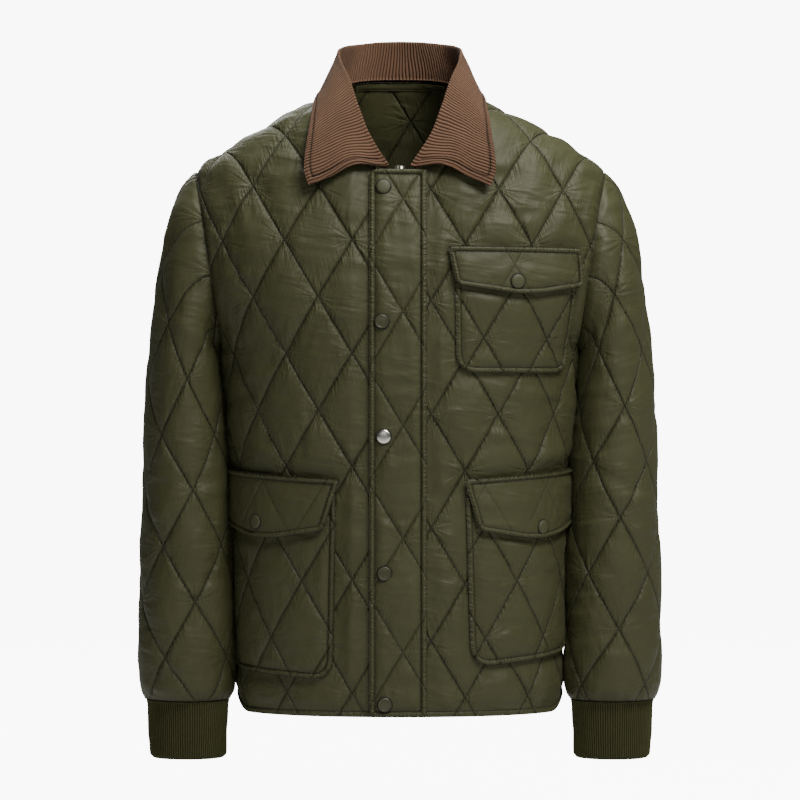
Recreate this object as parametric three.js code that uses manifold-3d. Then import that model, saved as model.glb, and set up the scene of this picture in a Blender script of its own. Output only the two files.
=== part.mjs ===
import * as THREE from "three";
import { mergeVertices } from "three/addons/utils/BufferGeometryUtils.js";
import Module from "manifold-3d";

const wasm = await Module();
wasm.setup();

// Millimetres. +Z is up, the front of the jacket faces -Y, and +X is the side that carries
// the chest pocket. The origin is the middle of the neck at the height of the shoulder seams.

// Quilting: stitched diamonds, raised outside over a plain inside
const quilt = { width: 75, height: 124, wall: 2.6, puff: 4.6, pressed: 0.7, taper: 17 };
// Share of the puff halfway between the middle of a diamond and its stitch lines
const puffShoulder = 0.72;
// Crossing of two stitch lines on each quilted piece, on its flat pattern
const quiltCentres = {
  front_right: { across: 71, up: -301 },
  front_left: { across: -52.4, up: -296 },
  back: { across: 12.7, up: -270 },
  sleeve_right: { across: 82, up: -353 },
  sleeve_left: { across: 61, up: -385 },
  storm_flap: { across: 3, up: -375 },
  pocket_chest: { across: 93, up: -279.5 },
  pocket_low_right: { across: 132, up: -545 },
  pocket_low_left: { across: -107, up: -545 },
};
const seamGap = 0.3;
const layerGap = 0.7;
// Cloth under a layer is pressed flat to this far beyond it, and rises again over the fade
const press = { reach: 15, fade: 24 };

// Armholes: tilted ovals that both the body and the sleeves are built on
const armhole = { x: 211.5, z: -191.5, lean: 14.5, tall: 98.5, deep: 75 };
const armholeGap = { top: 1.4, underarm: 6.4 };
const armpitZ = armhole.z - armhole.tall;
const shoulderZ = armhole.z + armhole.tall;

// Body: half width at the sides, and depth of the front and of the back from the middle plane
const bodyRows = [
  { z: -720, half: 179, front: 127, back: 120 },
  { z: -675, half: 180, front: 128, back: 121 },
  { z: -590, half: 180, front: 129, back: 121 },
  { z: -516, half: 181, front: 129, back: 119 },
  { z: -440, half: 184, front: 129, back: 117 },
  { z: -392, half: 188, front: 130, back: 118 },
  { z: -330, half: 193, front: 132, back: 121 },
  { z: -290, half: 197, front: 133, back: 123 },
  { z: -250, half: 200, front: 133, back: 125 },
  { z: -190, half: 205, front: 129, back: 126 },
  { z: -140, half: 210, front: 120, back: 122 },
  { z: -90, half: 215, front: 108, back: 112 },
  { z: -40, half: 215, front: 94, back: 98 },
  { z: 0, half: 215, front: 82, back: 84 },
  { z: 25, half: 215, front: 74, back: 74 },
];
const sectionRound = 2.3;

// Shoulder ridge: half width of the body at each height above the armholes
const ridgeRows = [
  { z: -93, half: 226 },
  { z: -83, half: 214 },
  { z: -55, half: 171 },
  { z: -17, half: 99 },
  { z: -2, half: 76 },
  { z: 12, half: 67 },
  { z: 24, half: 52 },
  { z: 34, half: 32 },
  { z: 40, half: 0 },
];
const columnStart = -200;
const neckPoint = { x: 76, z: -2 };

// Neckline of the front and of the back, from the middle to the shoulder seam
const frontNeckRows = [
  { x: 0, z: -96 },
  { x: 24, z: -93 },
  { x: 46, z: -80 },
  { x: 62, z: -60 },
  { x: 72, z: -34 },
  { x: 76, z: -12 },
  { x: 76, z: -2 },
];
const backNeckRows = [
  { x: 0, z: 19 },
  { x: 22, z: 17.5 },
  { x: 42, z: 12.5 },
  { x: 59, z: 5 },
  { x: 70, z: -0.5 },
  { x: 76, z: -2 },
];

// Hem: level, rising in a soft curve over the side seams
const hem = { z: -694, rise: 17, span: 62 };

// Sleeve: rings that turn about the armpit and then hang level, by their outer and inner points
const sleeveRows = [
  { outerX: 226, outerZ: -93, innerX: 197, innerZ: -290, deep: 75, forward: 0 },
  { outerX: 242, outerZ: -111, innerX: 200, innerZ: -291, deep: 76, forward: 0 },
  { outerX: 254, outerZ: -137, innerX: 203, innerZ: -293, deep: 76, forward: 0 },
  { outerX: 261, outerZ: -176, innerX: 206, innerZ: -297, deep: 76, forward: 0 },
  { outerX: 269, outerZ: -231, innerX: 205, innerZ: -304, deep: 75, forward: 0 },
  { outerX: 277, outerZ: -295, innerX: 203, innerZ: -324, deep: 73, forward: -1 },
  { outerX: 283, outerZ: -367, innerX: 199.5, innerZ: -374, deep: 69, forward: -3 },
  { outerX: 286, outerZ: -440, innerX: 197, innerZ: -440, deep: 65, forward: -6 },
  { outerX: 289, outerZ: -530, innerX: 192.5, innerZ: -530, deep: 60, forward: -11 },
  { outerX: 290, outerZ: -612, innerX: 190.5, innerZ: -612, deep: 56, forward: -15 },
  { outerX: 289, outerZ: -660, innerX: 190, innerZ: -660, deep: 52, forward: -17 },
  { outerX: 281, outerZ: -682, innerX: 195, innerZ: -682, deep: 44, forward: -18 },
];
const sleeveGirthRows = [
  { z: -682, radius: 50 },
  { z: -612, radius: 54 },
  { z: -440, radius: 56 },
  { z: -290, radius: 61 },
  { z: 60, radius: 61 },
];

// Ribbed cuff: centre and half sizes of its rings, down from the sleeve
const cuffRows = [
  { z: -683.3, halfX: 46, halfY: 44.5 },
  { z: -692, halfX: 44.5, halfY: 42.5 },
  { z: -742, halfX: 42.4, halfY: 40.2 },
  { z: -748, halfX: 41, halfY: 39 },
];
const cuff = { x: 238, y: -18, wall: 2.2, ribs: 40, rib: 0.9 };

// Front fastening
const zip = { half: 5.6, wall: 1.6, under: 0.5 };
const stormFlap = { left: -33.5, right: 29, top: -94, corner: 8, wall: 2.4, puff: 3.2 };
const snap = { radius: 7.6, tall: 2.6, lip: 1.1, sides: 12 };
const stormSnapRows = [
  { name: "snap_neck", x: -18, z: -115 },
  { name: "snap_chest", x: -19.6, z: -261.4 },
  { name: "snap_waist", x: -17.4, z: -386.7 },
  { name: "snap_pocket", x: -16.7, z: -536.7 },
  { name: "snap_hem", x: -16.4, z: -679.6 },
];
const flapSnapRows = [
  { name: "snap_flap_chest", on: "flap_chest", across: 127, up: -217 },
  { name: "snap_flap_low_right", on: "flap_low_right", across: 160, up: -487 },
  { name: "snap_flap_low_left", on: "flap_low_left", across: -161, up: -481 },
];

// Patch pockets and flaps, outlines as seen from the front
const pocket = { wall: 2.2, puff: 3.0 };
const flap = { wall: 2.4, puff: 2.2, domed: true };
const flapCell = { across: 19, up: 19 };
// Each bag with the flap over it, and how far the chest's curve lifts them off the panel
const pocketRows = [
  { bag: "pocket_chest", over: "flap_chest", lift: 0.5 },
  { bag: "pocket_low_right", over: "flap_low_right", lift: 0 },
  { bag: "pocket_low_left", over: "flap_low_left", lift: 0 },
];
const chestBag = [
  { x: 59, z: -184 },
  { x: 187, z: -184 },
  { x: 188, z: -300 },
  { x: 183, z: -312 },
  { x: 172, z: -317 },
  { x: 78, z: -317 },
  { x: 66, z: -313 },
  { x: 60, z: -302 },
];
const chestFlap = [
  { x: 52, z: -180 },
  { x: 189, z: -180 },
  { x: 191, z: -217 },
  { x: 185, z: -222 },
  { x: 130, z: -232 },
  { x: 70, z: -223 },
  { x: 63, z: -218 },
];
const lowBagRight = [
  { across: 71, z: -440 },
  { across: 231, z: -428 },
  { across: 231, z: -607 },
  { across: 227, z: -622 },
  { across: 209, z: -628 },
  { across: 120, z: -639 },
  { across: 88, z: -638 },
  { across: 77, z: -627 },
];
const lowFlapRight = [
  { across: 69, z: -434 },
  { across: 236, z: -421 },
  { across: 238, z: -472 },
  { across: 230, z: -484 },
  { across: 190, z: -499 },
  { across: 148, z: -503 },
  { across: 92, z: -492 },
  { across: 84, z: -486 },
];
const lowBagLeft = [
  { across: -69, z: -439 },
  { across: -231, z: -429 },
  { across: -231, z: -624 },
  { across: -227, z: -638 },
  { across: -209, z: -645 },
  { across: -120, z: -653 },
  { across: -86, z: -653 },
  { across: -73, z: -641 },
];
const lowFlapLeft = [
  { across: -65, z: -434 },
  { across: -236, z: -422 },
  { across: -238, z: -473 },
  { across: -230, z: -485 },
  { across: -190, z: -498 },
  { across: -148, z: -501 },
  { across: -90, z: -492 },
  { across: -82, z: -487 },
];

// Collar, from the front to the middle of the back. The stand starts at a place on the neckline,
// 0 at the middle of the front, 1 at the shoulder seam and 2 at the middle of the back. The fold is
// the top of the stand, the edge is the outer edge of the fall, and the bow is how far the fall
// stands out between them.
const collarRows = [
  { neck: 0.11, foldX: 13, foldY: -113, foldZ: -85, edgeX: 101, edgeY: -126, edgeZ: -111, bow: 7.5 },
  { neck: 0.24, foldX: 25, foldY: -111, foldZ: -70, edgeX: 106, edgeY: -122, edgeZ: -94, bow: 4.5 },
  { neck: 0.4, foldX: 37, foldY: -105, foldZ: -49, edgeX: 106, edgeY: -115, edgeZ: -74, bow: 2.5 },
  { neck: 0.56, foldX: 48, foldY: -93, foldZ: -20, edgeX: 104, edgeY: -103, edgeZ: -52, bow: 1.5 },
  { neck: 0.72, foldX: 58, foldY: -72, foldZ: 10, edgeX: 101, edgeY: -79, edgeZ: -28, bow: 1.5 },
  { neck: 0.87, foldX: 66, foldY: -40, foldZ: 33, edgeX: 100, edgeY: -42, edgeZ: -8, bow: 1.5 },
  { neck: 1, foldX: 69, foldY: -4, foldZ: 48, edgeX: 98, edgeY: 0, edgeZ: 1, bow: 1.5 },
  { neck: 1.15, foldX: 65, foldY: 32, foldZ: 55, edgeX: 92, edgeY: 46, edgeZ: -4, bow: 1.5 },
  { neck: 1.4, foldX: 49, foldY: 60, foldZ: 60, edgeX: 72, edgeY: 82, edgeZ: -10, bow: 1.5 },
  { neck: 1.7, foldX: 25, foldY: 74, foldZ: 63, edgeX: 37, edgeY: 101, edgeZ: -13, bow: 1.5 },
  { neck: 2, foldX: 0, foldY: 79, foldZ: 64, edgeX: 0, edgeY: 107, edgeZ: -14, bow: 1.5 },
];
const collar = { wall: 2.6, fold: 5, seat: 2.6 };

// Tape over the seam inside the back of the neck
const neckTape = { half: 50, drop: 2, tall: 9, wall: 0.8, under: 2.5 };

const cloth = new THREE.Color(0.2, 0.2, 0.115);
const materials = {
  shell: { color: cloth, roughness: 0.55, metalness: 0 },
  corduroy: { color: new THREE.Color(0.24, 0.125, 0.07), roughness: 0.95, metalness: 0 },
  rib_knit: { color: new THREE.Color(0.1, 0.1, 0.05), roughness: 0.95, metalness: 0 },
  snap_olive: { color: new THREE.Color(0.13, 0.13, 0.07), roughness: 0.4, metalness: 0.3 },
  snap_silver: { color: new THREE.Color(0.7, 0.69, 0.64), roughness: 0.3, metalness: 1 },
  zip: { color: new THREE.Color(0.09, 0.09, 0.06), roughness: 0.6, metalness: 0 },
};

const part = new THREE.Group();

// Value of one column at a place on another column, along a smooth curve through the rows
function look(rows, along, column, place) {
  const rising = rows[rows.length - 1][along] > rows[0][along];
  const list = rising ? rows : [...rows].reverse();
  const last = list.length - 1;
  if (place <= list[0][along]) return list[0][column];
  if (place >= list[last][along]) return list[last][column];
  let at = 0;
  while (list[at + 1][along] < place) at++;
  const slope = (i) => {
    const before = list[Math.max(i - 1, 0)];
    const after = list[Math.min(i + 1, last)];
    return (after[column] - before[column]) / (after[along] - before[along]);
  };
  const span = list[at + 1][along] - list[at][along];
  const t = (place - list[at][along]) / span;
  const start = list[at][column];
  const end = list[at + 1][column];
  const rise = slope(at) * span;
  const fall = slope(at + 1) * span;
  const bend = t * t * (3 - 2 * t);
  return start + (end - start) * bend + rise * t * (1 - t) ** 2 - fall * t * t * (1 - t);
}

function smooth(t) {
  const held = Math.min(Math.max(t, 0), 1);
  return held * held * (3 - 2 * held);
}

// Half width of the body section at a height: the side seams, then through the armhole oval,
// then along the shoulder ridge
function halfWidth(z, face) {
  if (z <= armpitZ) return look(bodyRows, "z", "half", z);
  if (z >= shoulderZ) return look(ridgeRows, "z", "half", z);
  const c = (z - armhole.z) / armhole.tall;
  const x = armhole.x + armhole.lean * c;
  const y = armhole.deep * Math.sqrt(Math.max(1 - c * c, 0));
  const share = (y / depthAt(z, face)) ** sectionRound;
  return x / (1 - share) ** (1 / sectionRound);
}

function depthAt(z, face) {
  return look(bodyRows, "z", face < 0 ? "front" : "back", z);
}

// Distance from the middle plane of the surface at a width and height
function depthOver(x, z, face) {
  const share = Math.min(x / Math.max(halfWidth(z, face), 1e-6), 1) ** sectionRound;
  return depthAt(z, face) * Math.max(1 - share, 0) ** (1 / sectionRound);
}

// Points of a level section from the middle to the side, with the length along it
function sectionTable(z, face) {
  const steps = 56;
  const half = halfWidth(z, face);
  const deep = depthAt(z, face);
  const rows = [{ length: 0, x: 0, y: deep }];
  for (let i = 1; i <= steps; i++) {
    const angle = ((i / steps) * Math.PI) / 2;
    const x = half * Math.sin(angle) ** (2 / sectionRound);
    const y = deep * Math.max(Math.cos(angle), 0) ** (2 / sectionRound);
    const before = rows[i - 1];
    rows.push({ length: before.length + Math.hypot(x - before.x, y - before.y), x, y });
  }
  return rows;
}

function ridgeHeight(x) {
  let low = shoulderZ;
  let high = ridgeRows[ridgeRows.length - 1].z;
  for (let i = 0; i < 40; i++) {
    const middle = (low + high) / 2;
    if (look(ridgeRows, "z", "half", middle) > x) low = middle;
    else high = middle;
  }
  return low;
}

// Points of an upright column from the start height to the shoulder ridge
function columnTable(x, face) {
  const steps = 64;
  const top = ridgeHeight(x);
  const rows = [{ length: 0, y: depthOver(x, columnStart, face), z: columnStart }];
  for (let i = 1; i <= steps; i++) {
    const z = columnStart + (top - columnStart) * Math.sin(((i / steps) * Math.PI) / 2);
    const y = i === steps ? 0 : depthOver(x, z, face);
    const before = rows[i - 1];
    rows.push({ length: before.length + Math.hypot(y - before.y, z - before.z), y, z });
  }
  return rows;
}

function between(rows, along, column, place) {
  let low = 0;
  let high = rows.length - 1;
  while (high - low > 1) {
    const middle = (low + high) >> 1;
    if (rows[middle][along] <= place) low = middle;
    else high = middle;
  }
  const t = (place - rows[low][along]) / (rows[high][along] - rows[low][along]);
  const held = Math.min(Math.max(t, 0), 1);
  return rows[low][column] + (rows[high][column] - rows[low][column]) * held;
}

// Point of the body for a place on the flat pattern: across from the middle, up from the hem
function bodyPoint(across, up, face) {
  const table = sectionTable(Math.min(up, columnStart), face);
  const x = between(table, "length", "x", Math.abs(across));
  const side = across < 0 ? -1 : 1;
  if (up <= columnStart) {
    const y = between(table, "length", "y", Math.abs(across));
    return new THREE.Vector3(side * x, face * y, up);
  }
  const column = columnTable(x, face);
  const y = between(column, "length", "y", up - columnStart);
  const z = between(column, "length", "z", up - columnStart);
  return new THREE.Vector3(side * x, face * y, z);
}

// Place on the flat pattern of a point seen at a width and height
function patternPlace(x, z, face) {
  const table = sectionTable(Math.min(z, columnStart), face);
  const side = x < 0 ? -1 : 1;
  const across = side * between(table, "x", "length", Math.abs(x));
  if (z <= columnStart) return { across, up: z };
  const column = columnTable(Math.abs(x), face);
  return { across, up: columnStart + between(column, "z", "length", z) };
}

// Point of a sleeve ring: 0 is the outer line, a quarter turn is the front
function ringPoint(angle, ring) {
  const rows = sleeveRows.map((row, index) => ({ ...row, index }));
  const value = (column) => look(rows, "index", column, ring);
  const turn = Math.cos(angle);
  const spread = armholeGap.top + ((armholeGap.underarm - armholeGap.top) * (1 - turn)) / 2;
  const clear = spread * Math.max(1 - ring / 3, 0);
  const x = (value("outerX") + value("innerX")) / 2 + (turn * (value("outerX") - value("innerX"))) / 2;
  const z = (value("outerZ") + value("innerZ")) / 2 + (turn * (value("outerZ") - value("innerZ"))) / 2;
  return new THREE.Vector3(x + clear, value("forward") - value("deep") * Math.sin(angle), z);
}

// Points along a sleeve from the cuff up to the armhole, with the length along them
const sleeveLineStore = new Map();
function sleeveLine(angle) {
  const key = angle.toFixed(3);
  if (sleeveLineStore.has(key)) return sleeveLineStore.get(key);
  const steps = 66;
  const last = sleeveRows.length - 1;
  const rows = [];
  for (let i = 0; i <= steps; i++) {
    const ring = last * (1 - i / steps);
    const point = ringPoint(angle, ring);
    const before = rows[i - 1];
    rows.push({ length: before ? before.length + point.distanceTo(before.point) : 0, ring, point });
  }
  sleeveLineStore.set(key, rows);
  return rows;
}

const sleeveFoot = sleeveRows[sleeveRows.length - 1].outerZ;

function sleevePoint(across, up, side) {
  const angle = across / look(sleeveGirthRows, "z", "radius", up);
  const ring = between(sleeveLine(angle), "length", "ring", up - sleeveFoot);
  const point = ringPoint(angle, ring);
  point.x *= side;
  return point;
}

function sleeveTop(angle) {
  const line = sleeveLine(angle);
  return sleeveFoot + line[line.length - 1].length;
}

// Moves a flat place and a height above it onto a surface, along the outward normal
function raise(surface, outward, across, up, height) {
  const step = 0.6;
  const point = surface(across, up);
  const right = surface(across + step, up).sub(surface(across - step, up));
  const above = surface(across, up + step).sub(surface(across, up - step));
  const normal = right.cross(above).normalize().multiplyScalar(outward);
  return point.addScaledVector(normal, height);
}

function manifoldOf(geometry) {
  const bare = geometry.clone();
  bare.deleteAttribute("normal");
  bare.deleteAttribute("uv");
  const merged = mergeVertices(bare, 1e-4);
  return new wasm.Manifold(
    new wasm.Mesh({
      numProp: 3,
      vertProperties: new Float32Array(merged.attributes.position.array),
      triVerts: new Uint32Array(merged.index.array),
    }),
  );
}

// The flat pieces are cut on a very shallow bowl, so that no two facets lie in one plane
const bowl = { rise: 2e-5, middle: -350 };
const bowlHeight = (across, up) => bowl.rise * (across * across + (up - bowl.middle) ** 2);
const cutReach = 60;

// Flat sheet of quarter diamonds over a piece's extent, with edges along the stitch lines
function flatSheet(outline, layer, centre, cell) {
  const xs = outline.map((p) => p.across);
  const ys = outline.map((p) => p.up);
  const firstX = Math.floor((Math.min(...xs) - centre.across) / cell.across) - 1;
  const lastX = Math.ceil((Math.max(...xs) - centre.across) / cell.across) + 1;
  const firstY = Math.floor((Math.min(...ys) - centre.up) / cell.up) - 1;
  const lastY = Math.ceil((Math.max(...ys) - centre.up) / cell.up) + 1;
  const countX = lastX - firstX + 1;
  const countY = lastY - firstY + 1;
  const points = [];
  for (const upper of [0, 1]) {
    for (let j = 0; j < countY; j++) {
      for (let i = 0; i < countX; i++) {
        const across = centre.across + (firstX + i) * cell.across;
        const up = centre.up + (firstY + j) * cell.up;
        const height = upper ? layer.wall + layer.puff * cellHeight(firstX + i, firstY + j) : 0;
        points.push(across, up, height + bowlHeight(across, up));
      }
    }
  }
  const index = [];
  const at = (i, j, upper) => upper * countX * countY + j * countX + i;
  const quad = (a, b, c, d) => index.push(a, b, c, a, c, d);
  for (let j = 0; j < countY - 1; j++) {
    for (let i = 0; i < countX - 1; i++) {
      const even = (firstX + i + firstY + j) % 2 === 0;
      for (const upper of [0, 1]) {
        const a = at(i, j, upper);
        const b = at(i + 1, j, upper);
        const c = at(i + 1, j + 1, upper);
        const d = at(i, j + 1, upper);
        const turn = upper ? [a, b, c, d] : [d, c, b, a];
        if (even) {
          if (upper) quad(a, b, c, d);
          else index.push(a, d, c, a, c, b);
        } else if (upper) quad(b, c, d, a);
        else index.push(b, a, d, b, d, turn[1]);
      }
    }
  }
  for (let i = 0; i < countX - 1; i++) {
    quad(at(i, 0, 0), at(i + 1, 0, 0), at(i + 1, 0, 1), at(i, 0, 1));
    quad(at(i + 1, countY - 1, 0), at(i, countY - 1, 0), at(i, countY - 1, 1), at(i + 1, countY - 1, 1));
  }
  for (let j = 0; j < countY - 1; j++) {
    quad(at(0, j + 1, 0), at(0, j, 0), at(0, j, 1), at(0, j + 1, 1));
    quad(at(countX - 1, j, 0), at(countX - 1, j + 1, 0), at(countX - 1, j + 1, 1), at(countX - 1, j, 1));
  }
  const geometry = new THREE.BufferGeometry();
  geometry.setAttribute("position", new THREE.BufferAttribute(new Float32Array(points), 3));
  geometry.setIndex(index);
  return geometry;
}

// Share of the puff at a corner of a quarter diamond: nothing on the stitch lines, all in the middle
function cellHeight(i, j) {
  const onLine = (((i - j) % 4) + 4) % 4 === 0 || (((i + j) % 4) + 4) % 4 === 0;
  if (onLine) return 0;
  return i % 2 === 0 && j % 2 === 0 ? 1 : puffShoulder;
}

function distanceTo(outline, across, up) {
  let best = Infinity;
  for (let i = 0; i < outline.length; i++) {
    const a = outline[i];
    const b = outline[(i + 1) % outline.length];
    const dx = b.across - a.across;
    const dy = b.up - a.up;
    const share = ((across - a.across) * dx + (up - a.up) * dy) / (dx * dx + dy * dy || 1);
    const t = Math.min(Math.max(share, 0), 1);
    best = Math.min(best, Math.hypot(across - a.across - t * dx, up - a.up - t * dy));
  }
  return best;
}

function insideOf(outline, across, up) {
  let inside = false;
  for (let i = 0, k = outline.length - 1; i < outline.length; k = i++) {
    const a = outline[i];
    const b = outline[k];
    const crosses = a.up > up !== b.up > up;
    if (crosses && across < ((b.across - a.across) * (up - a.up)) / (b.up - a.up) + a.across) {
      inside = !inside;
    }
  }
  return inside;
}

// Cuts a sheet to an outline and lays it on a surface
function cutPiece(piece) {
  const { outline, layer, centre, surface, outward, base = 0, covers = [], cell = quarter } = piece;
  const shape = new THREE.Shape(outline.map((p) => new THREE.Vector2(p.across, p.up)));
  const cutter = new THREE.ExtrudeGeometry(shape, { depth: cutReach * 2, bevelEnabled: false, steps: 1 });
  cutter.translate(0, 0, -cutReach);
  const cut = manifoldOf(flatSheet(outline, layer, centre, cell)).intersect(manifoldOf(cutter));
  const mesh = cut.getMesh();
  const count = mesh.vertProperties.length / mesh.numProp;
  const points = new Float32Array(count * 3);
  for (let i = 0; i < count; i++) {
    const across = mesh.vertProperties[i * mesh.numProp];
    const up = mesh.vertProperties[i * mesh.numProp + 1];
    const flat = mesh.vertProperties[i * mesh.numProp + 2] - bowlHeight(across, up);
    let height = flat;
    if (flat > layer.wall - 0.05) {
      let share = smooth(distanceTo(outline, across, up) / quilt.taper);
      for (const cover of covers) {
        const away = distanceTo(cover, across, up);
        const held = insideOf(cover, across, up) ? 1 : 1 - smooth((away - press.reach) / press.fade);
        share = Math.min(share, 1 - held * (1 - quilt.pressed / quilt.puff));
      }
      const raised = layer.domed ? layer.puff : flat - layer.wall;
      height = layer.wall + raised * share;
    }
    const point = raise(surface, outward, across, up, base + height);
    point.toArray(points, i * 3);
  }
  return meshGeometry(points, Array.from(mesh.triVerts));
}

// A geometry with its faces turned outward
function meshGeometry(points, index) {
  let volume = 0;
  const corner = [new THREE.Vector3(), new THREE.Vector3(), new THREE.Vector3()];
  for (let i = 0; i < index.length; i += 3) {
    for (let k = 0; k < 3; k++) corner[k].fromArray(points, index[i + k] * 3);
    volume += corner[0].dot(corner[1].clone().cross(corner[2])) / 6;
  }
  if (volume < 0) {
    for (let i = 0; i < index.length; i += 3) {
      [index[i + 1], index[i + 2]] = [index[i + 2], index[i + 1]];
    }
  }
  const geometry = new THREE.BufferGeometry();
  geometry.setAttribute("position", new THREE.BufferAttribute(new Float32Array(points), 3));
  geometry.setIndex(index);
  geometry.computeVertexNormals();
  return geometry;
}

function addNode(name, geometry, finish) {
  const mesh = new THREE.Mesh(geometry, new THREE.MeshStandardMaterial(materials[finish]));
  mesh.name = name;
  part.add(mesh);
}

const quarter = { across: quilt.width / 4, up: quilt.height / 4 };

// A number of evenly spaced places from 0 to 1, each turned into a point
function spaced(count, at) {
  return Array.from({ length: count }, (_, i) => at(i / (count - 1)));
}

function sideLength(z, face) {
  const table = sectionTable(z, face);
  return table[table.length - 1].length;
}

function hemHeight(across, face) {
  const toSide = sideLength(hem.z, face) - Math.abs(across);
  return hem.z + hem.rise * smooth(1 - toSide / hem.span);
}

// Outline of half a front or back, from the middle at the hem round to the middle of the neck
function halfOutline(face, neckRows, middle) {
  const half = seamGap / 2;
  const side = sideLength(hem.z, face) - half;
  const hemLine = spaced(10, (t) => {
    const across = middle + (side - middle) * t;
    return { across, up: hemHeight(across, face) };
  });
  const sideLine = spaced(9, (t) => {
    const up = hem.z + hem.rise + (armpitZ - 1 - hem.z - hem.rise) * t;
    return { across: sideLength(up, face) - half, up };
  }).slice(1);
  const armLine = spaced(25, (t) => {
    const angle = Math.PI * (1 - t);
    const x = armhole.x + armhole.lean * Math.cos(angle) - half;
    return patternPlace(x, armhole.z + armhole.tall * Math.cos(angle) - half * t, face);
  }).slice(1);
  const ridgeLine = spaced(8, (t) => {
    const x = armhole.x + armhole.lean - half - 1 + (neckPoint.x - armhole.x - armhole.lean + 1) * t;
    const column = columnTable(x, face);
    const table = sectionTable(columnStart, face);
    const across = between(table, "x", "length", x);
    return { across, up: columnStart + column[column.length - 1].length - half };
  });
  const neckLine = spaced(11, (t) => {
    const rows = neckRows.map((row, index) => ({ ...row, index }));
    const place = (1 - t) * (rows.length - 1);
    return patternPlace(look(rows, "index", "x", place), look(rows, "index", "z", place), face);
  }).slice(1);
  neckLine[neckLine.length - 1].across = middle;
  return [...hemLine, ...sideLine, ...armLine, ...ridgeLine, ...neckLine];
}

const mirrored = (outline) => outline.map((p) => ({ across: -p.across, up: p.up })).reverse();
const onFront = (across, up) => bodyPoint(across, up, -1);
const onBack = (across, up) => bodyPoint(across, up, 1);

// Outline with its corners kept and its long edges given more points
function dense(outline, spacing) {
  const points = [];
  outline.forEach((a, i) => {
    const b = outline[(i + 1) % outline.length];
    const count = Math.max(1, Math.round(Math.hypot(b.across - a.across, b.up - a.up) / spacing));
    for (let k = 0; k < count; k++) {
      const t = k / count;
      points.push({ across: a.across + (b.across - a.across) * t, up: a.up + (b.up - a.up) * t });
    }
  });
  return points;
}

const seenOutline = (rows) => rows.map((row) => patternPlace(row.x, row.z, -1));
const flatOutline = (rows) => rows.map((row) => ({ across: row.across, up: row.z }));
const outlines = {
  pocket_chest: seenOutline(chestBag),
  flap_chest: seenOutline(chestFlap),
  pocket_low_right: flatOutline(lowBagRight),
  flap_low_right: flatOutline(lowFlapRight),
  pocket_low_left: flatOutline(lowBagLeft),
  flap_low_left: flatOutline(lowFlapLeft),
};
const stormTop = patternPlace(0, stormFlap.top, -1).up;
const stormOutline = [
  { across: stormFlap.left, up: hem.z },
  { across: stormFlap.right, up: hem.z },
  { across: stormFlap.right, up: stormTop - 1 },
  { across: stormFlap.left + stormFlap.corner, up: stormTop },
  { across: stormFlap.left + stormFlap.corner * 0.3, up: stormTop - stormFlap.corner * 0.3 },
  { across: stormFlap.left, up: stormTop - stormFlap.corner },
];

// Body panels
const frontHalf = halfOutline(-1, frontNeckRows, zip.half + seamGap);
const backHalf = halfOutline(1, backNeckRows, 0);
const shellLayer = { wall: quilt.wall, puff: quilt.puff };
addNode(
  "front_right",
  cutPiece({
    outline: frontHalf,
    layer: shellLayer,
    centre: quiltCentres.front_right,
    surface: onFront,
    outward: 1,
    covers: [stormOutline, outlines.pocket_chest, outlines.pocket_low_right],
  }),
  "shell",
);
addNode(
  "front_left",
  cutPiece({
    outline: mirrored(frontHalf),
    layer: shellLayer,
    centre: quiltCentres.front_left,
    surface: onFront,
    outward: 1,
    covers: [stormOutline, outlines.pocket_low_left],
  }),
  "shell",
);
addNode(
  "back",
  cutPiece({
    outline: [...backHalf, ...mirrored(backHalf).slice(1, -1)],
    layer: shellLayer,
    centre: quiltCentres.back,
    surface: onBack,
    outward: -1,
  }),
  "shell",
);

// Sleeves, open along the underarm seam
function sleeveOutline() {
  const radiusAt = (z) => look(sleeveGirthRows, "z", "radius", z);
  const edge = (up) => Math.PI * radiusAt(up) - seamGap / 2;
  const foot = sleeveFoot + seamGap;
  const under = sleeveTop(Math.PI);
  const right = spaced(12, (t) => {
    const up = foot + (under - foot) * t;
    return { across: edge(up), up };
  });
  const cap = spaced(49, (t) => {
    const angle = Math.PI * (1 - 2 * t) * 0.9985;
    const up = sleeveTop(angle);
    return { across: angle * radiusAt(up), up };
  });
  const left = right.map((p) => ({ across: -p.across, up: p.up })).reverse();
  const base = spaced(13, (t) => ({ across: edge(foot) * (2 * t - 1), up: foot })).slice(1, -1);
  return [...right, ...cap.slice(1, -1), ...left, ...base];
}
const sleeveShape = sleeveOutline();
for (const [name, side] of [["sleeve_right", 1], ["sleeve_left", -1]]) {
  addNode(
    name,
    cutPiece({
      outline: sleeveShape,
      layer: shellLayer,
      centre: quiltCentres[name],
      surface: (across, up) => sleevePoint(across, up, side),
      outward: -side,
    }),
    "shell",
  );
}

// Closed skin round a loop of rings
function ringSolid(rings) {
  const around = rings[0].length;
  const points = rings.flat().flatMap((p) => [p.x, p.y, p.z]);
  const index = [];
  for (let k = 0; k < rings.length; k++) {
    const next = (k + 1) % rings.length;
    for (let i = 0; i < around; i++) {
      const j = (i + 1) % around;
      const [a, b, c, d] = [k * around + i, k * around + j, next * around + j, next * around + i];
      index.push(a, b, c, a, c, d);
    }
  }
  return meshGeometry(points, index);
}

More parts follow.
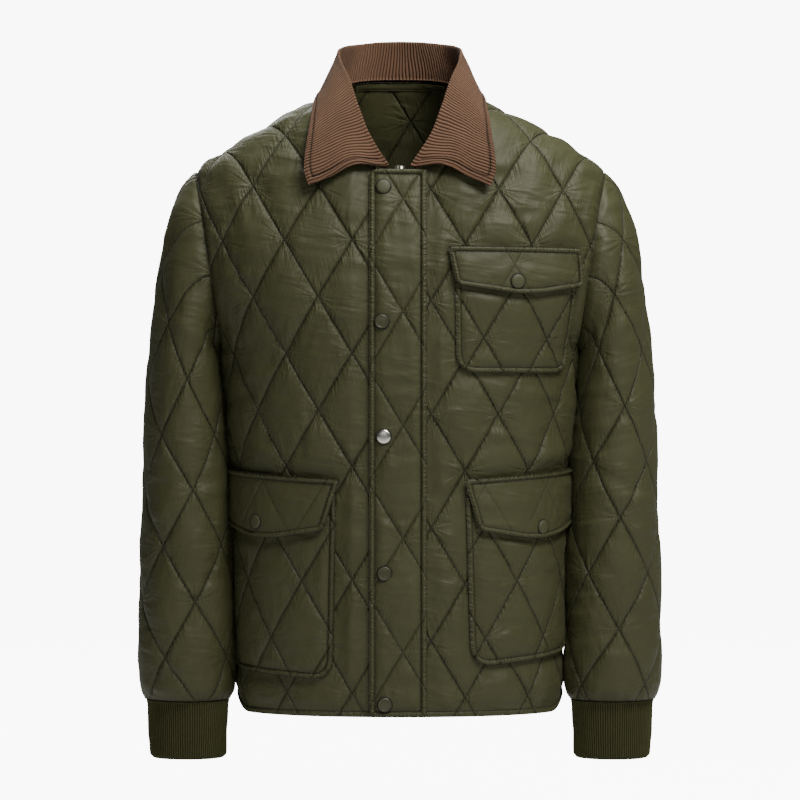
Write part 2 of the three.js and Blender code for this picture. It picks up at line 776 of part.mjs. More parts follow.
// Ribbed cuffs
for (const [name, side] of [["cuff_right", 1], ["cuff_left", -1]]) {
  const ring = (row, grow, ribbed) =>
    spaced(cuff.ribs * 2 + 1, (t) => {
      const angle = t * Math.PI * 2;
      const rib = ribbed && Math.round(t * cuff.ribs * 2) % 2 === 0 ? cuff.rib : 0;
      const x = side * (cuff.x + (row.halfX + grow + rib) * Math.cos(angle));
      return new THREE.Vector3(x, cuff.y + (row.halfY + grow + rib) * Math.sin(angle), row.z);
    }).slice(0, -1);
  const outside = cuffRows.map((row) => ring(row, 0, true));
  const inside = [cuffRows[cuffRows.length - 1], cuffRows[0]].map((row) => ring(row, -cuff.wall, false));
  addNode(name, ringSolid([...outside, ...inside]), "rib_knit");
}

// Strip behind the storm flap that closes the front
addNode(
  "zip",
  cutPiece({
    outline: dense(
      [
        { across: -zip.half, up: hem.z + 4 },
        { across: zip.half, up: hem.z + 4 },
        { across: zip.half, up: stormTop - 6 },
        { across: -zip.half, up: stormTop - 6 },
      ],
      40,
    ),
    layer: { wall: zip.wall, puff: 0 },
    centre: { across: 0.3, up: -300.3 },
    cell: { across: zip.half * 3, up: 40 },
    surface: onFront,
    outward: 1,
    base: zip.under,
  }),
  "zip",
);

// Storm flap over the zip
const onPanel = quilt.wall + quilt.pressed + layerGap;
addNode(
  "storm_flap",
  cutPiece({
    outline: dense(stormOutline, 34),
    layer: { wall: stormFlap.wall, puff: stormFlap.puff },
    centre: quiltCentres.storm_flap,
    surface: onFront,
    outward: 1,
    base: onPanel,
  }),
  "shell",
);

// Patch pockets and their flaps
for (const { bag, over, lift } of pocketRows) {
  addNode(
    bag,
    cutPiece({
      outline: dense(outlines[bag], 26),
      layer: pocket,
      centre: quiltCentres[bag],
      surface: onFront,
      outward: 1,
      base: onPanel + lift,
      covers: [outlines[over]],
    }),
    "shell",
  );
  addNode(
    over,
    cutPiece({
      outline: dense(outlines[over], 22),
      layer: flap,
      centre: quiltCentres[bag],
      cell: flapCell,
      surface: onFront,
      outward: 1,
      base: onPanel + lift + pocket.wall + quilt.pressed + layerGap,
    }),
    "shell",
  );
}

// Height of the top of a piece over the surface, at its highest under a snap, found by rays from
// clear above it
function restHeight(name, across, up, axis) {
  const far = 40;
  const centre = raise(onFront, 1, across, up, far);
  const sideways = new THREE.Vector3(0, 0, 1).cross(axis).normalize();
  const upright = axis.clone().cross(sideways);
  const below = axis.clone().negate();
  const spots = [centre];
  for (let i = 0; i < snap.sides; i++) {
    const angle = (i / snap.sides) * Math.PI * 2;
    const spot = centre.clone().addScaledVector(sideways, snap.radius * Math.cos(angle));
    spots.push(spot.addScaledVector(upright, snap.radius * Math.sin(angle)));
  }
  const heights = spots.map((spot) => {
    const hit = new THREE.Raycaster(spot, below).intersectObject(part.getObjectByName(name))[0];
    return hit ? far - hit.distance : 0;
  });
  return Math.max(...heights);
}

// Domed snap cap that rests on a piece, turned to the surface
function snapCap(name, across, up) {
  const ground = raise(onFront, 1, across, up, 0);
  const axis = raise(onFront, 1, across, up, 1).sub(ground).normalize();
  const centre = ground.addScaledVector(axis, restHeight(name, across, up, axis) + seamGap);
  const turn = new THREE.Quaternion().setFromUnitVectors(new THREE.Vector3(0, 0, 1), axis);
  const profile = [
    { r: 0, h: 0 },
    { r: snap.radius - 0.6, h: 0 },
    { r: snap.radius, h: snap.lip * 0.5 },
    { r: snap.radius - 0.4, h: snap.lip + 0.4 },
    { r: snap.radius * 0.6, h: snap.tall - 0.3 },
    { r: 0, h: snap.tall },
  ];
  const points = [];
  const index = [];
  const place = (r, h, angle) => {
    const p = new THREE.Vector3(r * Math.cos(angle), r * Math.sin(angle), h);
    p.applyQuaternion(turn).add(centre);
    points.push(p.x, p.y, p.z);
  };
  place(0, 0, 0);
  place(0, snap.tall, 0);
  const rings = profile.slice(1, -1);
  for (const row of rings) {
    for (let i = 0; i < snap.sides; i++) place(row.r, row.h, (i / snap.sides) * Math.PI * 2);
  }
  for (let i = 0; i < snap.sides; i++) {
    const j = (i + 1) % snap.sides;
    index.push(0, 2 + j, 2 + i);
    for (let k = 0; k < rings.length - 1; k++) {
      const low = 2 + k * snap.sides;
      const high = low + snap.sides;
      index.push(low + i, low + j, high + j, low + i, high + j, high + i);
    }
    const top = 2 + (rings.length - 1) * snap.sides;
    index.push(top + i, top + j, 1);
  }
  return meshGeometry(points, index);
}

for (const row of stormSnapRows) {
  const place = patternPlace(row.x, row.z, -1);
  const finish = row.name === "snap_waist" ? "snap_silver" : "snap_olive";
  addNode(row.name, snapCap("storm_flap", place.across, place.up), finish);
}
for (const row of flapSnapRows) {
  addNode(row.name, snapCap(row.on, row.across, row.up), "snap_olive");
}

// Tape over the seam inside the back of the neck
const tapeLine = (drop) =>
  spaced(9, (t) => {
    const x = neckTape.half * (2 * t - 1);
    const place = patternPlace(x, look(backNeckRows, "x", "z", Math.abs(x)), 1);
    return { across: place.across, up: place.up - drop };
  });
addNode(
  "neck_tape",
  cutPiece({
    outline: [...tapeLine(neckTape.drop + neckTape.tall), ...tapeLine(neckTape.drop).reverse()],
    layer: { wall: neckTape.wall, puff: 0 },
    centre: { across: 0.3, up: 0.3 },
    cell: { across: 15, up: 20 },
    surface: onBack,
    outward: -1,
    base: -neckTape.wall - neckTape.under,
  }),
  "zip",
);

// Point of the neckline and the directions out of the wall and away from the body there
function neckEdge(place) {
  const face = place <= 1 ? -1 : 1;
  const rows = (face < 0 ? frontNeckRows : backNeckRows).map((row, index) => ({ ...row, index }));
  const share = (face < 0 ? place : 2 - place) * (rows.length - 1);
  const spot = (at) => {
    const flat = patternPlace(look(rows, "index", "x", at), look(rows, "index", "z", at), face);
    return bodyPoint(flat.across, flat.up, face);
  };
  const flat = patternPlace(look(rows, "index", "x", share), look(rows, "index", "z", share), face);
  const point = bodyPoint(flat.across, flat.up, face);
  const surface = face < 0 ? onFront : onBack;
  const out = raise(surface, -face, flat.across, flat.up, 1).sub(point).normalize();
  const run = spot(Math.min(share + 0.1, rows.length - 1)).sub(spot(Math.max(share - 0.1, 0)));
  const away = out.clone().cross(run).normalize();
  const inward = new THREE.Vector3(-point.x, -point.y, 0);
  if (away.dot(inward) + away.z * 20 < 0) away.negate();
  return { point, out, away };
}

// Collar: stand and fall in one folded sheet, bowed forward and up between the fold and the edge
const bowDirection = new THREE.Vector3(0, -0.5, 0.85);
function collarSection(row) {
  const { point, out, away } = neckEdge(row.neck);
  const foot = point.addScaledVector(out, quilt.wall / 2).addScaledVector(away, collar.seat);
  const fold = new THREE.Vector3(row.foldX, row.foldY, row.foldZ);
  const edge = new THREE.Vector3(row.edgeX, row.edgeY, row.edgeZ);
  const fall = edge.clone().sub(fold);
  const lift = bowDirection.clone().multiplyScalar(row.bow);
  const over = fold.clone().addScaledVector(fall, collar.fold / fall.length());
  const middle = fold.clone().lerp(edge, 0.5).add(lift);
  return [foot, foot.clone().lerp(fold, 0.55), fold, over, middle, edge];
}
const collarTable = collarRows.map((row, index) => ({ ...row, index }));
const collarHalf = spaced(17, (t) => {
  const place = t * (collarTable.length - 1);
  const row = {};
  for (const column of Object.keys(collarRows[0])) row[column] = look(collarTable, "index", column, place);
  return collarSection(row);
});
const mirrorX = (section) => section.map((p) => new THREE.Vector3(-p.x, p.y, p.z));
const collarGrid = [...collarHalf, ...collarHalf.slice(0, -1).reverse().map(mirrorX)];

// Closed shell from a grid of points and a wall, grown to both sides of the grid
function shellSolid(grid, wall) {
  const count = grid[0].length;
  const normalAt = (i, j) => {
    const along = grid[Math.min(i + 1, grid.length - 1)][j].clone().sub(grid[Math.max(i - 1, 0)][j]);
    const across = grid[i][Math.min(j + 1, count - 1)].clone().sub(grid[i][Math.max(j - 1, 0)]);
    return along.cross(across).normalize();
  };
  const points = [];
  for (const sign of [1, -1]) {
    grid.forEach((section, i) =>
      section.forEach((point, j) => {
        const moved = point.clone().addScaledVector(normalAt(i, j), (sign * wall) / 2);
        points.push(moved.x, moved.y, moved.z);
      }),
    );
  }
  const at = (i, j, under) => under * grid.length * count + i * count + j;
  const index = [];
  const quad = (a, b, c, d) => index.push(a, b, c, a, c, d);
  for (let i = 0; i < grid.length - 1; i++) {
    for (let j = 0; j < count - 1; j++) {
      quad(at(i, j, 0), at(i + 1, j, 0), at(i + 1, j + 1, 0), at(i, j + 1, 0));
      quad(at(i, j, 1), at(i, j + 1, 1), at(i + 1, j + 1, 1), at(i + 1, j, 1));
    }
    quad(at(i + 1, 0, 0), at(i, 0, 0), at(i, 0, 1), at(i + 1, 0, 1));
    quad(at(i, count - 1, 0), at(i + 1, count - 1, 0), at(i + 1, count - 1, 1), at(i, count - 1, 1));
  }
  for (let j = 0; j < count - 1; j++) {
    quad(at(0, j, 0), at(0, j + 1, 0), at(0, j + 1, 1), at(0, j, 1));
    const last = grid.length - 1;
    quad(at(last, j + 1, 0), at(last, j, 0), at(last, j, 1), at(last, j + 1, 1));
  }
  return meshGeometry(points, index);
}
addNode("collar", shellSolid(collarGrid, collar.wall), "corduroy");

export default part;
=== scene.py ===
import math

import bpy
import numpy as np
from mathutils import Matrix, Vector


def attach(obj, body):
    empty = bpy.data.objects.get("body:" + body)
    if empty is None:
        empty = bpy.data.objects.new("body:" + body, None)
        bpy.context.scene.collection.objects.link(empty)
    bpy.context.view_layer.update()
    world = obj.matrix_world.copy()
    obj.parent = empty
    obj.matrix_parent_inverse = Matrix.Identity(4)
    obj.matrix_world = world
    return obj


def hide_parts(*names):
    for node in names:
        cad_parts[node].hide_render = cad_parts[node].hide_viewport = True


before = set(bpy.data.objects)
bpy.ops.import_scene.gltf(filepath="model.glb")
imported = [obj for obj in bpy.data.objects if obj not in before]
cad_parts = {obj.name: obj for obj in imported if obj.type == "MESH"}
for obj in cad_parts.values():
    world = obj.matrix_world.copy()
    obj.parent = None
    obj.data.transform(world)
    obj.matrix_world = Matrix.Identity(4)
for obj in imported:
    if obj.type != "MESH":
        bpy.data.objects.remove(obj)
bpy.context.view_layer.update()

# Millimetres in the tables below; +Z up, the front of the jacket faces -Y, +X is the chest pocket's side.
mm = 0.001
front, back = -1, 1

# Quilting: stitched diamonds. wall = cloth and padding on a stitch line, puff = extra in the middle of
# a diamond, pressed = what is left of the puff under a pocket, taper = how far a seam flattens it
quilt = {"width": 75.0, "height": 124.0, "wall": 2.6, "puff": 4.8, "pressed": 0.5, "taper": 15.0,
         "sharp": 0.46, "step": 2.35}

armhole = {"x": 211.5, "z": -191.5, "lean": 14.5, "tall": 98.5, "deep": 75.0}
armholeGap = {"top": 0.15, "underarm": 0.6}
armpitZ = armhole["z"] - armhole["tall"]
shoulderZ = armhole["z"] + armhole["tall"]

# Body by height: half width at the sides, depth of the front and of the back from the middle plane
bodyColumns = ("z", "half", "front", "back")
bodyRows = (
    (-720, 179, 127, 120),
    (-675, 180, 128, 121),
    (-590, 180, 129, 121),
    (-516, 181, 129, 119),
    (-440, 184, 129, 117),
    (-392, 189.5, 130, 118),
    (-330, 194, 132, 121),
    (-290, 197, 133, 123),
    (-250, 200, 133, 125),
    (-190, 205, 129, 126),
    (-140, 210, 120, 122),
    (-90, 215, 108, 112),
    (-40, 215, 94, 98),
    (0, 215, 82, 84),
    (25, 215, 74, 74),
)
sectionRound = 2.3

# Shoulder ridge: half width of the body at each height above the armholes
ridgeColumns = ("z", "half")
ridgeRows = ((-93, 226), (-83, 214), (-55, 171), (-17, 99), (-2, 76), (12, 67), (24, 52), (34, 32), (40, 0))
columnStart = -200.0
neckX = 76.0

# Necklines from the middle to the shoulder seam
neckColumns = ("place", "x", "z")
frontNeckRows = ((0, 0, -96), (1, 24, -93), (2, 46, -80), (3, 62, -60), (4, 72, -34), (5, 76, -12),
                 (6, 76, -2))
backNeckRows = ((0, 0, 18.5), (1, 22, 18), (2, 42, 16), (3, 59, 11), (4, 69, 4), (5, 76, -2))

hem = {"z": -694.0, "rise": 17.0, "span": 62.0}

# Sleeve rings turn about the armpit and then hang level: outer point, inner point, depth, forward shift
sleeveColumns = ("ring", "outerX", "outerZ", "innerX", "innerZ", "deep", "forward")
sleeveRows = (
    (0, 226, -93, 197, -290, 75, 0),
    (1, 242, -111, 200, -291, 76, 0),
    (2, 254, -137, 203, -293, 76, 0),
    (3, 264, -176, 206, -297, 76, 0),
    (4, 273, -231, 204, -304, 75, 0),
    (5, 280, -295, 201, -324, 73, -1),
    (6, 285, -367, 197, -374, 69, -3),
    (7, 286, -440, 193.5, -440, 65, -6),
    (8, 289, -530, 190.5, -530, 60, -11),
    (9, 290, -612, 188.5, -612, 56, -15),
    (10, 289, -660, 188.5, -660, 52, -17),
    (11, 285, -682, 193, -682, 46, -18),
)
girthColumns = ("z", "radius")
girthRows = ((-682, 50), (-612, 54), (-440, 56), (-290, 61), (60, 61))
sleeveFoot = -682.0
gapRings = 3   # the gap at the armhole closes over this many rings


def table(columns, rows):
    # Rows as one array per column, sorted by the first column
    data = np.array(sorted(rows), dtype=float)
    return {name: data[:, i] for i, name in enumerate(columns)}


body = table(bodyColumns, bodyRows)
ridge = table(ridgeColumns, ridgeRows)
frontNeck = table(neckColumns, frontNeckRows)
backNeck = table(neckColumns, backNeckRows)
sleeve = table(sleeveColumns, sleeveRows)
girth = table(girthColumns, girthRows)


def look(rows, along, column, place):
    # Hermite curve through the rows, slopes from the rows on both sides
    at = rows[along]
    value = rows[column]
    place = np.clip(np.asarray(place, dtype=float), at[0], at[-1])
    ends = np.arange(len(at))
    before = np.maximum(ends - 1, 0)
    after = np.minimum(ends + 1, len(at) - 1)
    slope = (value[after] - value[before]) / (at[after] - at[before])
    i = np.clip(np.searchsorted(at, place, side="right") - 1, 0, len(at) - 2)
    span = at[i + 1] - at[i]
    t = (place - at[i]) / span
    bend = t * t * (3 - 2 * t)
    return (value[i] + (value[i + 1] - value[i]) * bend + slope[i] * span * t * (1 - t) ** 2
            - slope[i + 1] * span * t * t * (1 - t))


def smooth(t):
    # soft step from 0 to 1: three t squared less two t cubed, held at both ends
    held = np.clip(t, 0, 1)
    return held * held * (3 - 2 * held)


def depthAt(z, face):
    # depth of the body from its middle plane at a height, read from the rows
    return look(body, "z", "front" if face == front else "back", z)


def halfWidth(z, face):
    # side seams up to the armpit, then the section through the armhole oval, then the shoulder ridge
    z = np.asarray(z, dtype=float)
    c = np.clip((z - armhole["z"]) / armhole["tall"], -1, 1)
    oval = armhole["x"] + armhole["lean"] * c
    share = (armhole["deep"] * np.sqrt(1 - c * c) / depthAt(z, face)) ** sectionRound
    middle = oval / (1 - share) ** (1 / sectionRound)
    low = look(body, "z", "half", z)
    high = look(ridge, "z", "half", z)
    return np.where(z <= armpitZ, low, np.where(z >= shoulderZ, high, middle))


def depthOver(x, z, face):
    # y = depth * (1 - (x / half) ^ n) ^ (1 / n)
    share = np.minimum(x / np.maximum(halfWidth(z, face), 1e-6), 1) ** sectionRound
    return depthAt(z, face) * np.maximum(1 - share, 0) ** (1 / sectionRound)


def runLength(*parts):
    # length along rows of points, from 0
    steps = np.sqrt(sum(np.diff(p, axis=-1) ** 2 for p in parts))
    return np.concatenate([np.zeros_like(steps[..., :1]), np.cumsum(steps, axis=-1)], axis=-1)


def ridgeHeight(x):
    # height of the shoulder seam at a width: the ridge rows read the other way round
    z = np.linspace(shoulderZ, ridge["z"][-1], 900)
    half = look(ridge, "z", "half", z)
    return np.interp(-np.asarray(x, dtype=float), -half, z)


# Lookups of the body surface: level sections below, upright columns above
gridStep = 2.0
levelStep = 4.0
levels = np.arange(-724.0, columnStart + 0.5, levelStep)
acrossGrid = np.arange(0.0, 312.0, gridStep)
columnX = np.arange(0.0, 230.0, gridStep)
columnS = np.arange(0.0, 300.0, gridStep)
bodyMaps = {}
for face in (front, back):
    angle = np.linspace(0, math.pi / 2, 400)
    sectionX, sectionY = [], []
    for z in levels:
        x = halfWidth(z, face) * np.sin(angle) ** (2 / sectionRound)
        y = depthAt(z, face) * np.clip(np.cos(angle), 0, 1) ** (2 / sectionRound)
        length = runLength(x, y)
        beyond = np.maximum(acrossGrid - length[-1], 0)
        sectionX.append(np.interp(acrossGrid, length, x))
        sectionY.append(np.interp(acrossGrid, length, y) - beyond)
    columnY, columnZ = [], []
    for x in columnX:
        top = ridgeHeight(x)
        z = columnStart + (top - columnStart) * np.sin(np.linspace(0, math.pi / 2, 400))
        y = depthOver(x, z, face)
        y[-1] = 0
        length = runLength(y, z)
        beyond = np.maximum(columnS - length[-1], 0)
        columnY.append(np.interp(columnS, length, y) - beyond)
        columnZ.append(np.interp(columnS, length, z))
    bodyMaps[face] = tuple(np.array(m) for m in (sectionX, sectionY, columnY, columnZ))
print("body surface done")


def sample(grid, a, b):
    # value between four grid places, a down the rows and b along them
    a = np.clip(a, 0, grid.shape[0] - 1.0001)
    b = np.clip(b, 0, grid.shape[1] - 1.0001)
    i, j = a.astype(int), b.astype(int)
    s, t = a - i, b - j
    return ((grid[i, j] * (1 - t) + grid[i, j + 1] * t) * (1 - s)
            + (grid[i + 1, j] * (1 - t) + grid[i + 1, j + 1] * t) * s)


def bodyPoint(across, up, face):
    # place on the flat pattern -> point of the body
    sectionX, sectionY, columnY, columnZ = bodyMaps[face]
    row = (np.minimum(up, columnStart) - levels[0]) / levelStep
    place = np.abs(across) / gridStep
    x = sample(sectionX, row, place)
    lowY = sample(sectionY, row, place)
    s = (up - columnStart) / gridStep
    highY = sample(columnY, x / gridStep, s)
    highZ = sample(columnZ, x / gridStep, s)
    above = up > columnStart
    side = np.where(across < 0, -1.0, 1.0)
    return np.stack([side * x, face * np.where(above, highY, lowY), np.where(above, highZ, up)], axis=-1)


def sectionLength(z, face):
    # lengths round a level section from the middle, with the width reached at each
    angle = np.linspace(0, math.pi / 2, 400)
    x = halfWidth(z, face) * np.sin(angle) ** (2 / sectionRound)
    y = depthAt(z, face) * np.clip(np.cos(angle), 0, 1) ** (2 / sectionRound)
    return runLength(x, y), x


def patternPlace(x, z, face):
    # width and height of a point of the surface -> place on the flat pattern
    length, xs = sectionLength(min(z, columnStart), face)
    across = math.copysign(np.interp(abs(x), xs, length), x)
    if z <= columnStart:
        return across, z
    top = max(z, columnStart + 1e-3)
    zs = np.linspace(columnStart, top, 300)
    ys = depthOver(abs(x), zs, face)
    return across, columnStart + runLength(ys, zs)[-1]


def ridgePlace(x, face):
    # place on the flat pattern of the shoulder seam at a width
    length, xs = sectionLength(columnStart, face)
    z = columnStart + (ridgeHeight(x) - columnStart) * np.sin(np.linspace(0, math.pi / 2, 400))
    y = depthOver(x, z, face)
    y[-1] = 0
    return np.interp(x, xs, length), columnStart + runLength(y, z)[-1]


def ringPoint(angle, ring):
    # point of a sleeve ring: 0 is the outer line, a quarter turn is the front
    value = {name: look(sleeve, "ring", name, ring) for name in sleeveColumns[1:]}
    turn = np.cos(angle)
    gap = armholeGap["top"] + (armholeGap["underarm"] - armholeGap["top"]) * (1 - turn) / 2
    clear = gap * np.maximum(1 - ring / gapRings, 0)
    x = (value["outerX"] + value["innerX"]) / 2 + turn * (value["outerX"] - value["innerX"]) / 2
    z = (value["outerZ"] + value["innerZ"]) / 2 + turn * (value["outerZ"] - value["innerZ"]) / 2
    return np.stack([x + clear, value["forward"] - value["deep"] * np.sin(angle), z], axis=-1)


def sleeveLine(angle):
    # for each angle: length up from the cuff against the ring number
    rings = np.linspace(sleeve["ring"][-1], 0, 133)
    points = ringPoint(angle[:, None], rings[None, :])
    return runLength(points[..., 0], points[..., 1], points[..., 2]), rings


def noiseField(seed, size=64):
    # square of random heights from a fixed seed
    return np.random.default_rng(seed).uniform(-1, 1, (size, size))


fieldCount = 18
firstSeed = 11
noiseFields = [noiseField(firstSeed + k) for k in range(fieldCount)]


def noise(x, y, field):
    # smooth random heights from -1 to 1, one step apart
    grid = noiseFields[field]
    size = grid.shape[0]
    i, j = np.floor(x).astype(int), np.floor(y).astype(int)
    s, t = smooth(x - i), smooth(y - j)
    i0, j0, i1, j1 = i % size, j % size, (i + 1) % size, (j + 1) % size
    return ((grid[i0, j0] * (1 - t) + grid[i0, j1] * t) * (1 - s)
            + (grid[i1, j0] * (1 - t) + grid[i1, j1] * t) * s)


lineLength = 0.5 * math.hypot(quilt["width"], quilt["height"])
lineSpacing = 1 / math.hypot(1 / quilt["width"], 1 / quilt["height"])

# Puckers: short ones run away from the stitches, long ones fan from the crossings, drags lie level
pucker = {"short": 0.8, "shortRun": 9.0, "shortStep": 6.5, "long": 1.5, "longRun": 26.0, "longStep": 11.0,
          "drag": 1.7, "dragStep": 11.0, "dragRun": 55.0, "soft": 1.6}


def quiltLines(across, up, centre):
    # the two stitch coordinates: whole numbers lie on the lines of each family
    u = (across - centre[0]) / quilt["width"]
    v = (up - centre[1]) / quilt["height"]
    return u - v, u + v


def quiltHeight(across, up, centre, puff, field=0, wrinkle=1.0, tilt=0.0):
    # Puff over the stitch lines, in mm: a pillow in each diamond, with puckers off its stitches
    a, b = quiltLines(across, up, centre)
    shareA, shareB = a - np.floor(a), b - np.floor(b)
    pillow = (16 * shareA * (1 - shareA) * shareB * (1 - shareB)) ** quilt["sharp"]
    height = puff * pillow
    crease = np.zeros_like(height)
    for own, other, shift, lean in ((a, b, 0, 0.5), (b, a, 5, -0.5)):
        signed = (own - np.round(own)) * lineSpacing
        away = np.abs(signed)
        run = other * lineLength + lean * signed
        line = np.round(own) * 7.3 + np.sign(signed) * 1.7
        near = noise(run / pucker["shortStep"], line + field, (field + shift) % fieldCount)
        far = noise(run / pucker["longStep"] + 9, line * 1.3 + field, (field + shift + 2) % fieldCount)
        window = 1 - smooth(away / (0.5 * lineSpacing))
        short = np.exp(-away / pucker["shortRun"]) * (1 - np.exp(-away / 1.6))
        long = np.exp(-away / pucker["longRun"]) * (1 - np.exp(-away / 3.0))
        crease += (pucker["short"] * near * short + pucker["long"] * far * long) * window
    level = up + tilt * across
    drag = noise(across / pucker["dragRun"] + field, level / pucker["dragStep"], (field + 7) % fieldCount)
    cross = np.exp(-np.minimum(np.abs(a - np.round(a)), np.abs(b - np.round(b))) * 5.0)
    crease += pucker["drag"] * drag * (0.35 + 0.65 * cross) * (1 - 0.55 * cross ** 6)
    crease += pucker["soft"] * noise(across / 31 + 3, up / 27 + field, (field + 9) % fieldCount) * pillow
    return height + wrinkle * crease * pillow ** 0.35


def runDistance(points, across, up):
    # Distance in mm from places on the pattern to a line through points
    points = np.asarray(points, dtype=float)
    best = np.full(np.shape(across), 1e9)
    for (x0, y0), (x1, y1) in zip(points[:-1], points[1:]):
        dx, dy = x1 - x0, y1 - y0
        t = np.clip(((across - x0) * dx + (up - y0) * dy) / (dx * dx + dy * dy + 1e-9), 0, 1)
        best = np.minimum(best, np.hypot(across - x0 - t * dx, up - y0 - t * dy))
    return best


def insideOf(points, across, up):
    # true where a level line to the side crosses the outline an odd number of times
    points = np.asarray(points, dtype=float)
    inside = np.zeros(np.shape(across), dtype=bool)
    for (x0, y0), (x1, y1) in zip(points, np.roll(points, -1, axis=0)):
        if y0 == y1:
            continue
        crosses = (y0 > up) != (y1 > up)
        inside ^= crosses & (across < (x1 - x0) * (up - y0) / (y1 - y0) + x0)
    return inside


def strokes(rows, across, up):
    # folds: (x0, y0, x1, y1, width, height); negative heights are troughs
    height = np.zeros(np.shape(across))
    for x0, y0, x1, y1, width, tall in rows:
        dx, dy = x1 - x0, y1 - y0
        share = ((across - x0) * dx + (up - y0) * dy) / (dx * dx + dy * dy)
        t = np.clip(share, 0, 1)
        sway = 0.35 * width * np.sin(5.0 * share + x0)
        off = ((across - x0) * dy - (up - y0) * dx) / math.hypot(dx, dy) + sway
        gone = np.maximum(np.abs(share - t), 0) * math.hypot(dx, dy)
        ends = smooth(1.15 - np.abs(2 * t - 1)) * np.exp(-(gone / width) ** 2)
        height += tall * np.exp(-(off / width) ** 2) * (1 - 0.8 * (off / width) * 0.5) * ends
    return height


def coons(bottom, right, top, left, countA, countB):
    # Grid of pattern places between four edges, each a run of points; top and bottom run left to right
    def along(points, count):
        # points at equal steps along a run of points
        points = np.asarray(points, dtype=float)
        length = runLength(points[:, 0], points[:, 1])
        at = np.linspace(0, length[-1], count)
        return np.stack([np.interp(at, length, points[:, k]) for k in (0, 1)], axis=-1)
    countA, countB = countA | 1, countB | 1
    low, high = along(bottom, countA), along(top, countA)
    west, east = along(left, countB), along(right, countB)
    s = np.linspace(0, 1, countA)[None, :, None]
    t = np.linspace(0, 1, countB)[:, None, None]
    grid = (low[None] * (1 - t) + high[None] * t + west[:, None] * (1 - s) + east[:, None] * s
            - ((low[0] * (1 - s) + low[-1] * s) * (1 - t) + (high[0] * (1 - s) + high[-1] * s) * t))
    return grid[..., 0], grid[..., 1]


def gridNormals(points, closed=False):
    # Unit normals of a grid of points from the steps along its rows and columns
    if closed:
        along = np.roll(points, -1, axis=1) - np.roll(points, 1, axis=1)
    else:
        along = np.gradient(points, axis=1)
    across = np.gradient(points, axis=0)
    normal = np.cross(along, across)
    return normal / np.maximum(np.linalg.norm(normal, axis=-1, keepdims=True), 1e-9)


def makeMesh(name, points, faces, uv=None):
    # faces: arrays of corner numbers, one array for each number of corners
    corners = np.concatenate([face.ravel() for face in faces])
    sizes = np.concatenate([np.full(len(face), face.shape[1]) for face in faces])
    mesh = bpy.data.meshes.new(name)
    mesh.vertices.add(len(points))
    mesh.vertices.foreach_set("co", (np.asarray(points) * mm).astype(np.float32).ravel())
    mesh.loops.add(len(corners))
    mesh.loops.foreach_set("vertex_index", corners.astype(np.int32))
    mesh.polygons.add(len(sizes))
    mesh.polygons.foreach_set("loop_start", (np.cumsum(sizes) - sizes).astype(np.int32))
    mesh.polygons.foreach_set("loop_total", sizes.astype(np.int32))
    mesh.polygons.foreach_set("use_smooth", np.full(len(sizes), True))
    mesh.update(calc_edges=True)
    if uv is not None:
        layer = mesh.uv_layers.new(name="pattern")
        layer.data.foreach_set("uv", (np.asarray(uv)[corners] * mm).astype(np.float32).ravel())
    mesh.validate()
    piece = bpy.data.objects.new(name, mesh)
    bpy.context.scene.collection.objects.link(piece)
    return piece


def addAttribute(piece, name, values):
    # one number for each point, which the materials read by name
    layer = piece.data.attributes.new(name, "FLOAT", "POINT")
    layer.data.foreach_set("value", np.asarray(values, dtype=np.float32).ravel())


def bothSides(values):
    # values of the outer grid, then of every second row and column for the inner side
    return np.concatenate([values.ravel(), values[::2, ::2].ravel()])


def gridFaces(number):
    # four corners of each cell of a grid of point numbers
    corners = [number[:-1, :-1], number[:-1, 1:], number[1:, 1:], number[1:, :-1]]
    return np.stack(corners, axis=-1).reshape(-1, 4)


def shellPiece(name, outer, inner, across, up, marks=None, closed=False):
    # Closed wall between an outer grid of points and every second row and column of an inner one,
    # with the pattern as its UV map. closed joins the first and the last column, for a tube.
    rows, columns = outer.shape[:2]
    inner = inner[::2, ::2]
    number = np.arange(rows * columns).reshape(rows, columns)
    under = np.arange(inner.shape[0] * inner.shape[1]).reshape(inner.shape[:2]) + rows * columns
    if closed:
        number = np.concatenate([number, number[:, :1]], axis=1)
        under = np.concatenate([under, under[:, :1]], axis=1)
    quads = np.concatenate([gridFaces(number), gridFaces(under)[:, ::-1]])
    rims = [(number[0, ::-1], under[0, ::-1]), (number[-1], under[-1])]
    if not closed:
        rims += [(number[:, 0], under[:, 0]), (number[::-1, -1], under[::-1, -1])]
    strips = []
    for rim, low in rims:
        start, middle, end = rim[:-2:2], rim[1:-1:2], rim[2::2]
        strips += [np.stack(three, axis=-1) for three in (
            (low[:-1], middle, start), (low[1:], end, middle), (low[:-1], low[1:], middle))]
    strips = np.concatenate(strips)
    points = np.concatenate([outer.reshape(-1, 3), inner.reshape(-1, 3)])
    corner = points[quads]
    normal = np.cross(corner[:, 1] - corner[:, 0], corner[:, 2] - corner[:, 0])
    if np.sum(normal * corner[:, 0]) < 0:
        quads, strips = quads[:, ::-1], strips[:, ::-1]
    uv = np.stack([bothSides(across), bothSides(up)], axis=-1)
    piece = makeMesh(name, points, [quads, strips], uv)
    addAttribute(piece, "inside", (np.arange(len(points)) >= rows * columns).astype(float))
    for key, values in (marks or {}).items():
        addAttribute(piece, key, bothSides(values))
    return piece


def rideAs(piece, node, material):
    # The piece takes its node's place on the one body, and says what cloth it is cut from
    piece.data.materials.append(material)
    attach(piece, "root")
    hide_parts(node)
    print("built", piece.name, len(piece.data.polygons), "faces")
    return piece


def newMaterial(name):
    # a new material, its tree and its Principled shader
    material = bpy.data.materials.new(name)
    material.use_nodes = True
    tree = material.node_tree
    return material, tree, tree.nodes["Principled BSDF"]


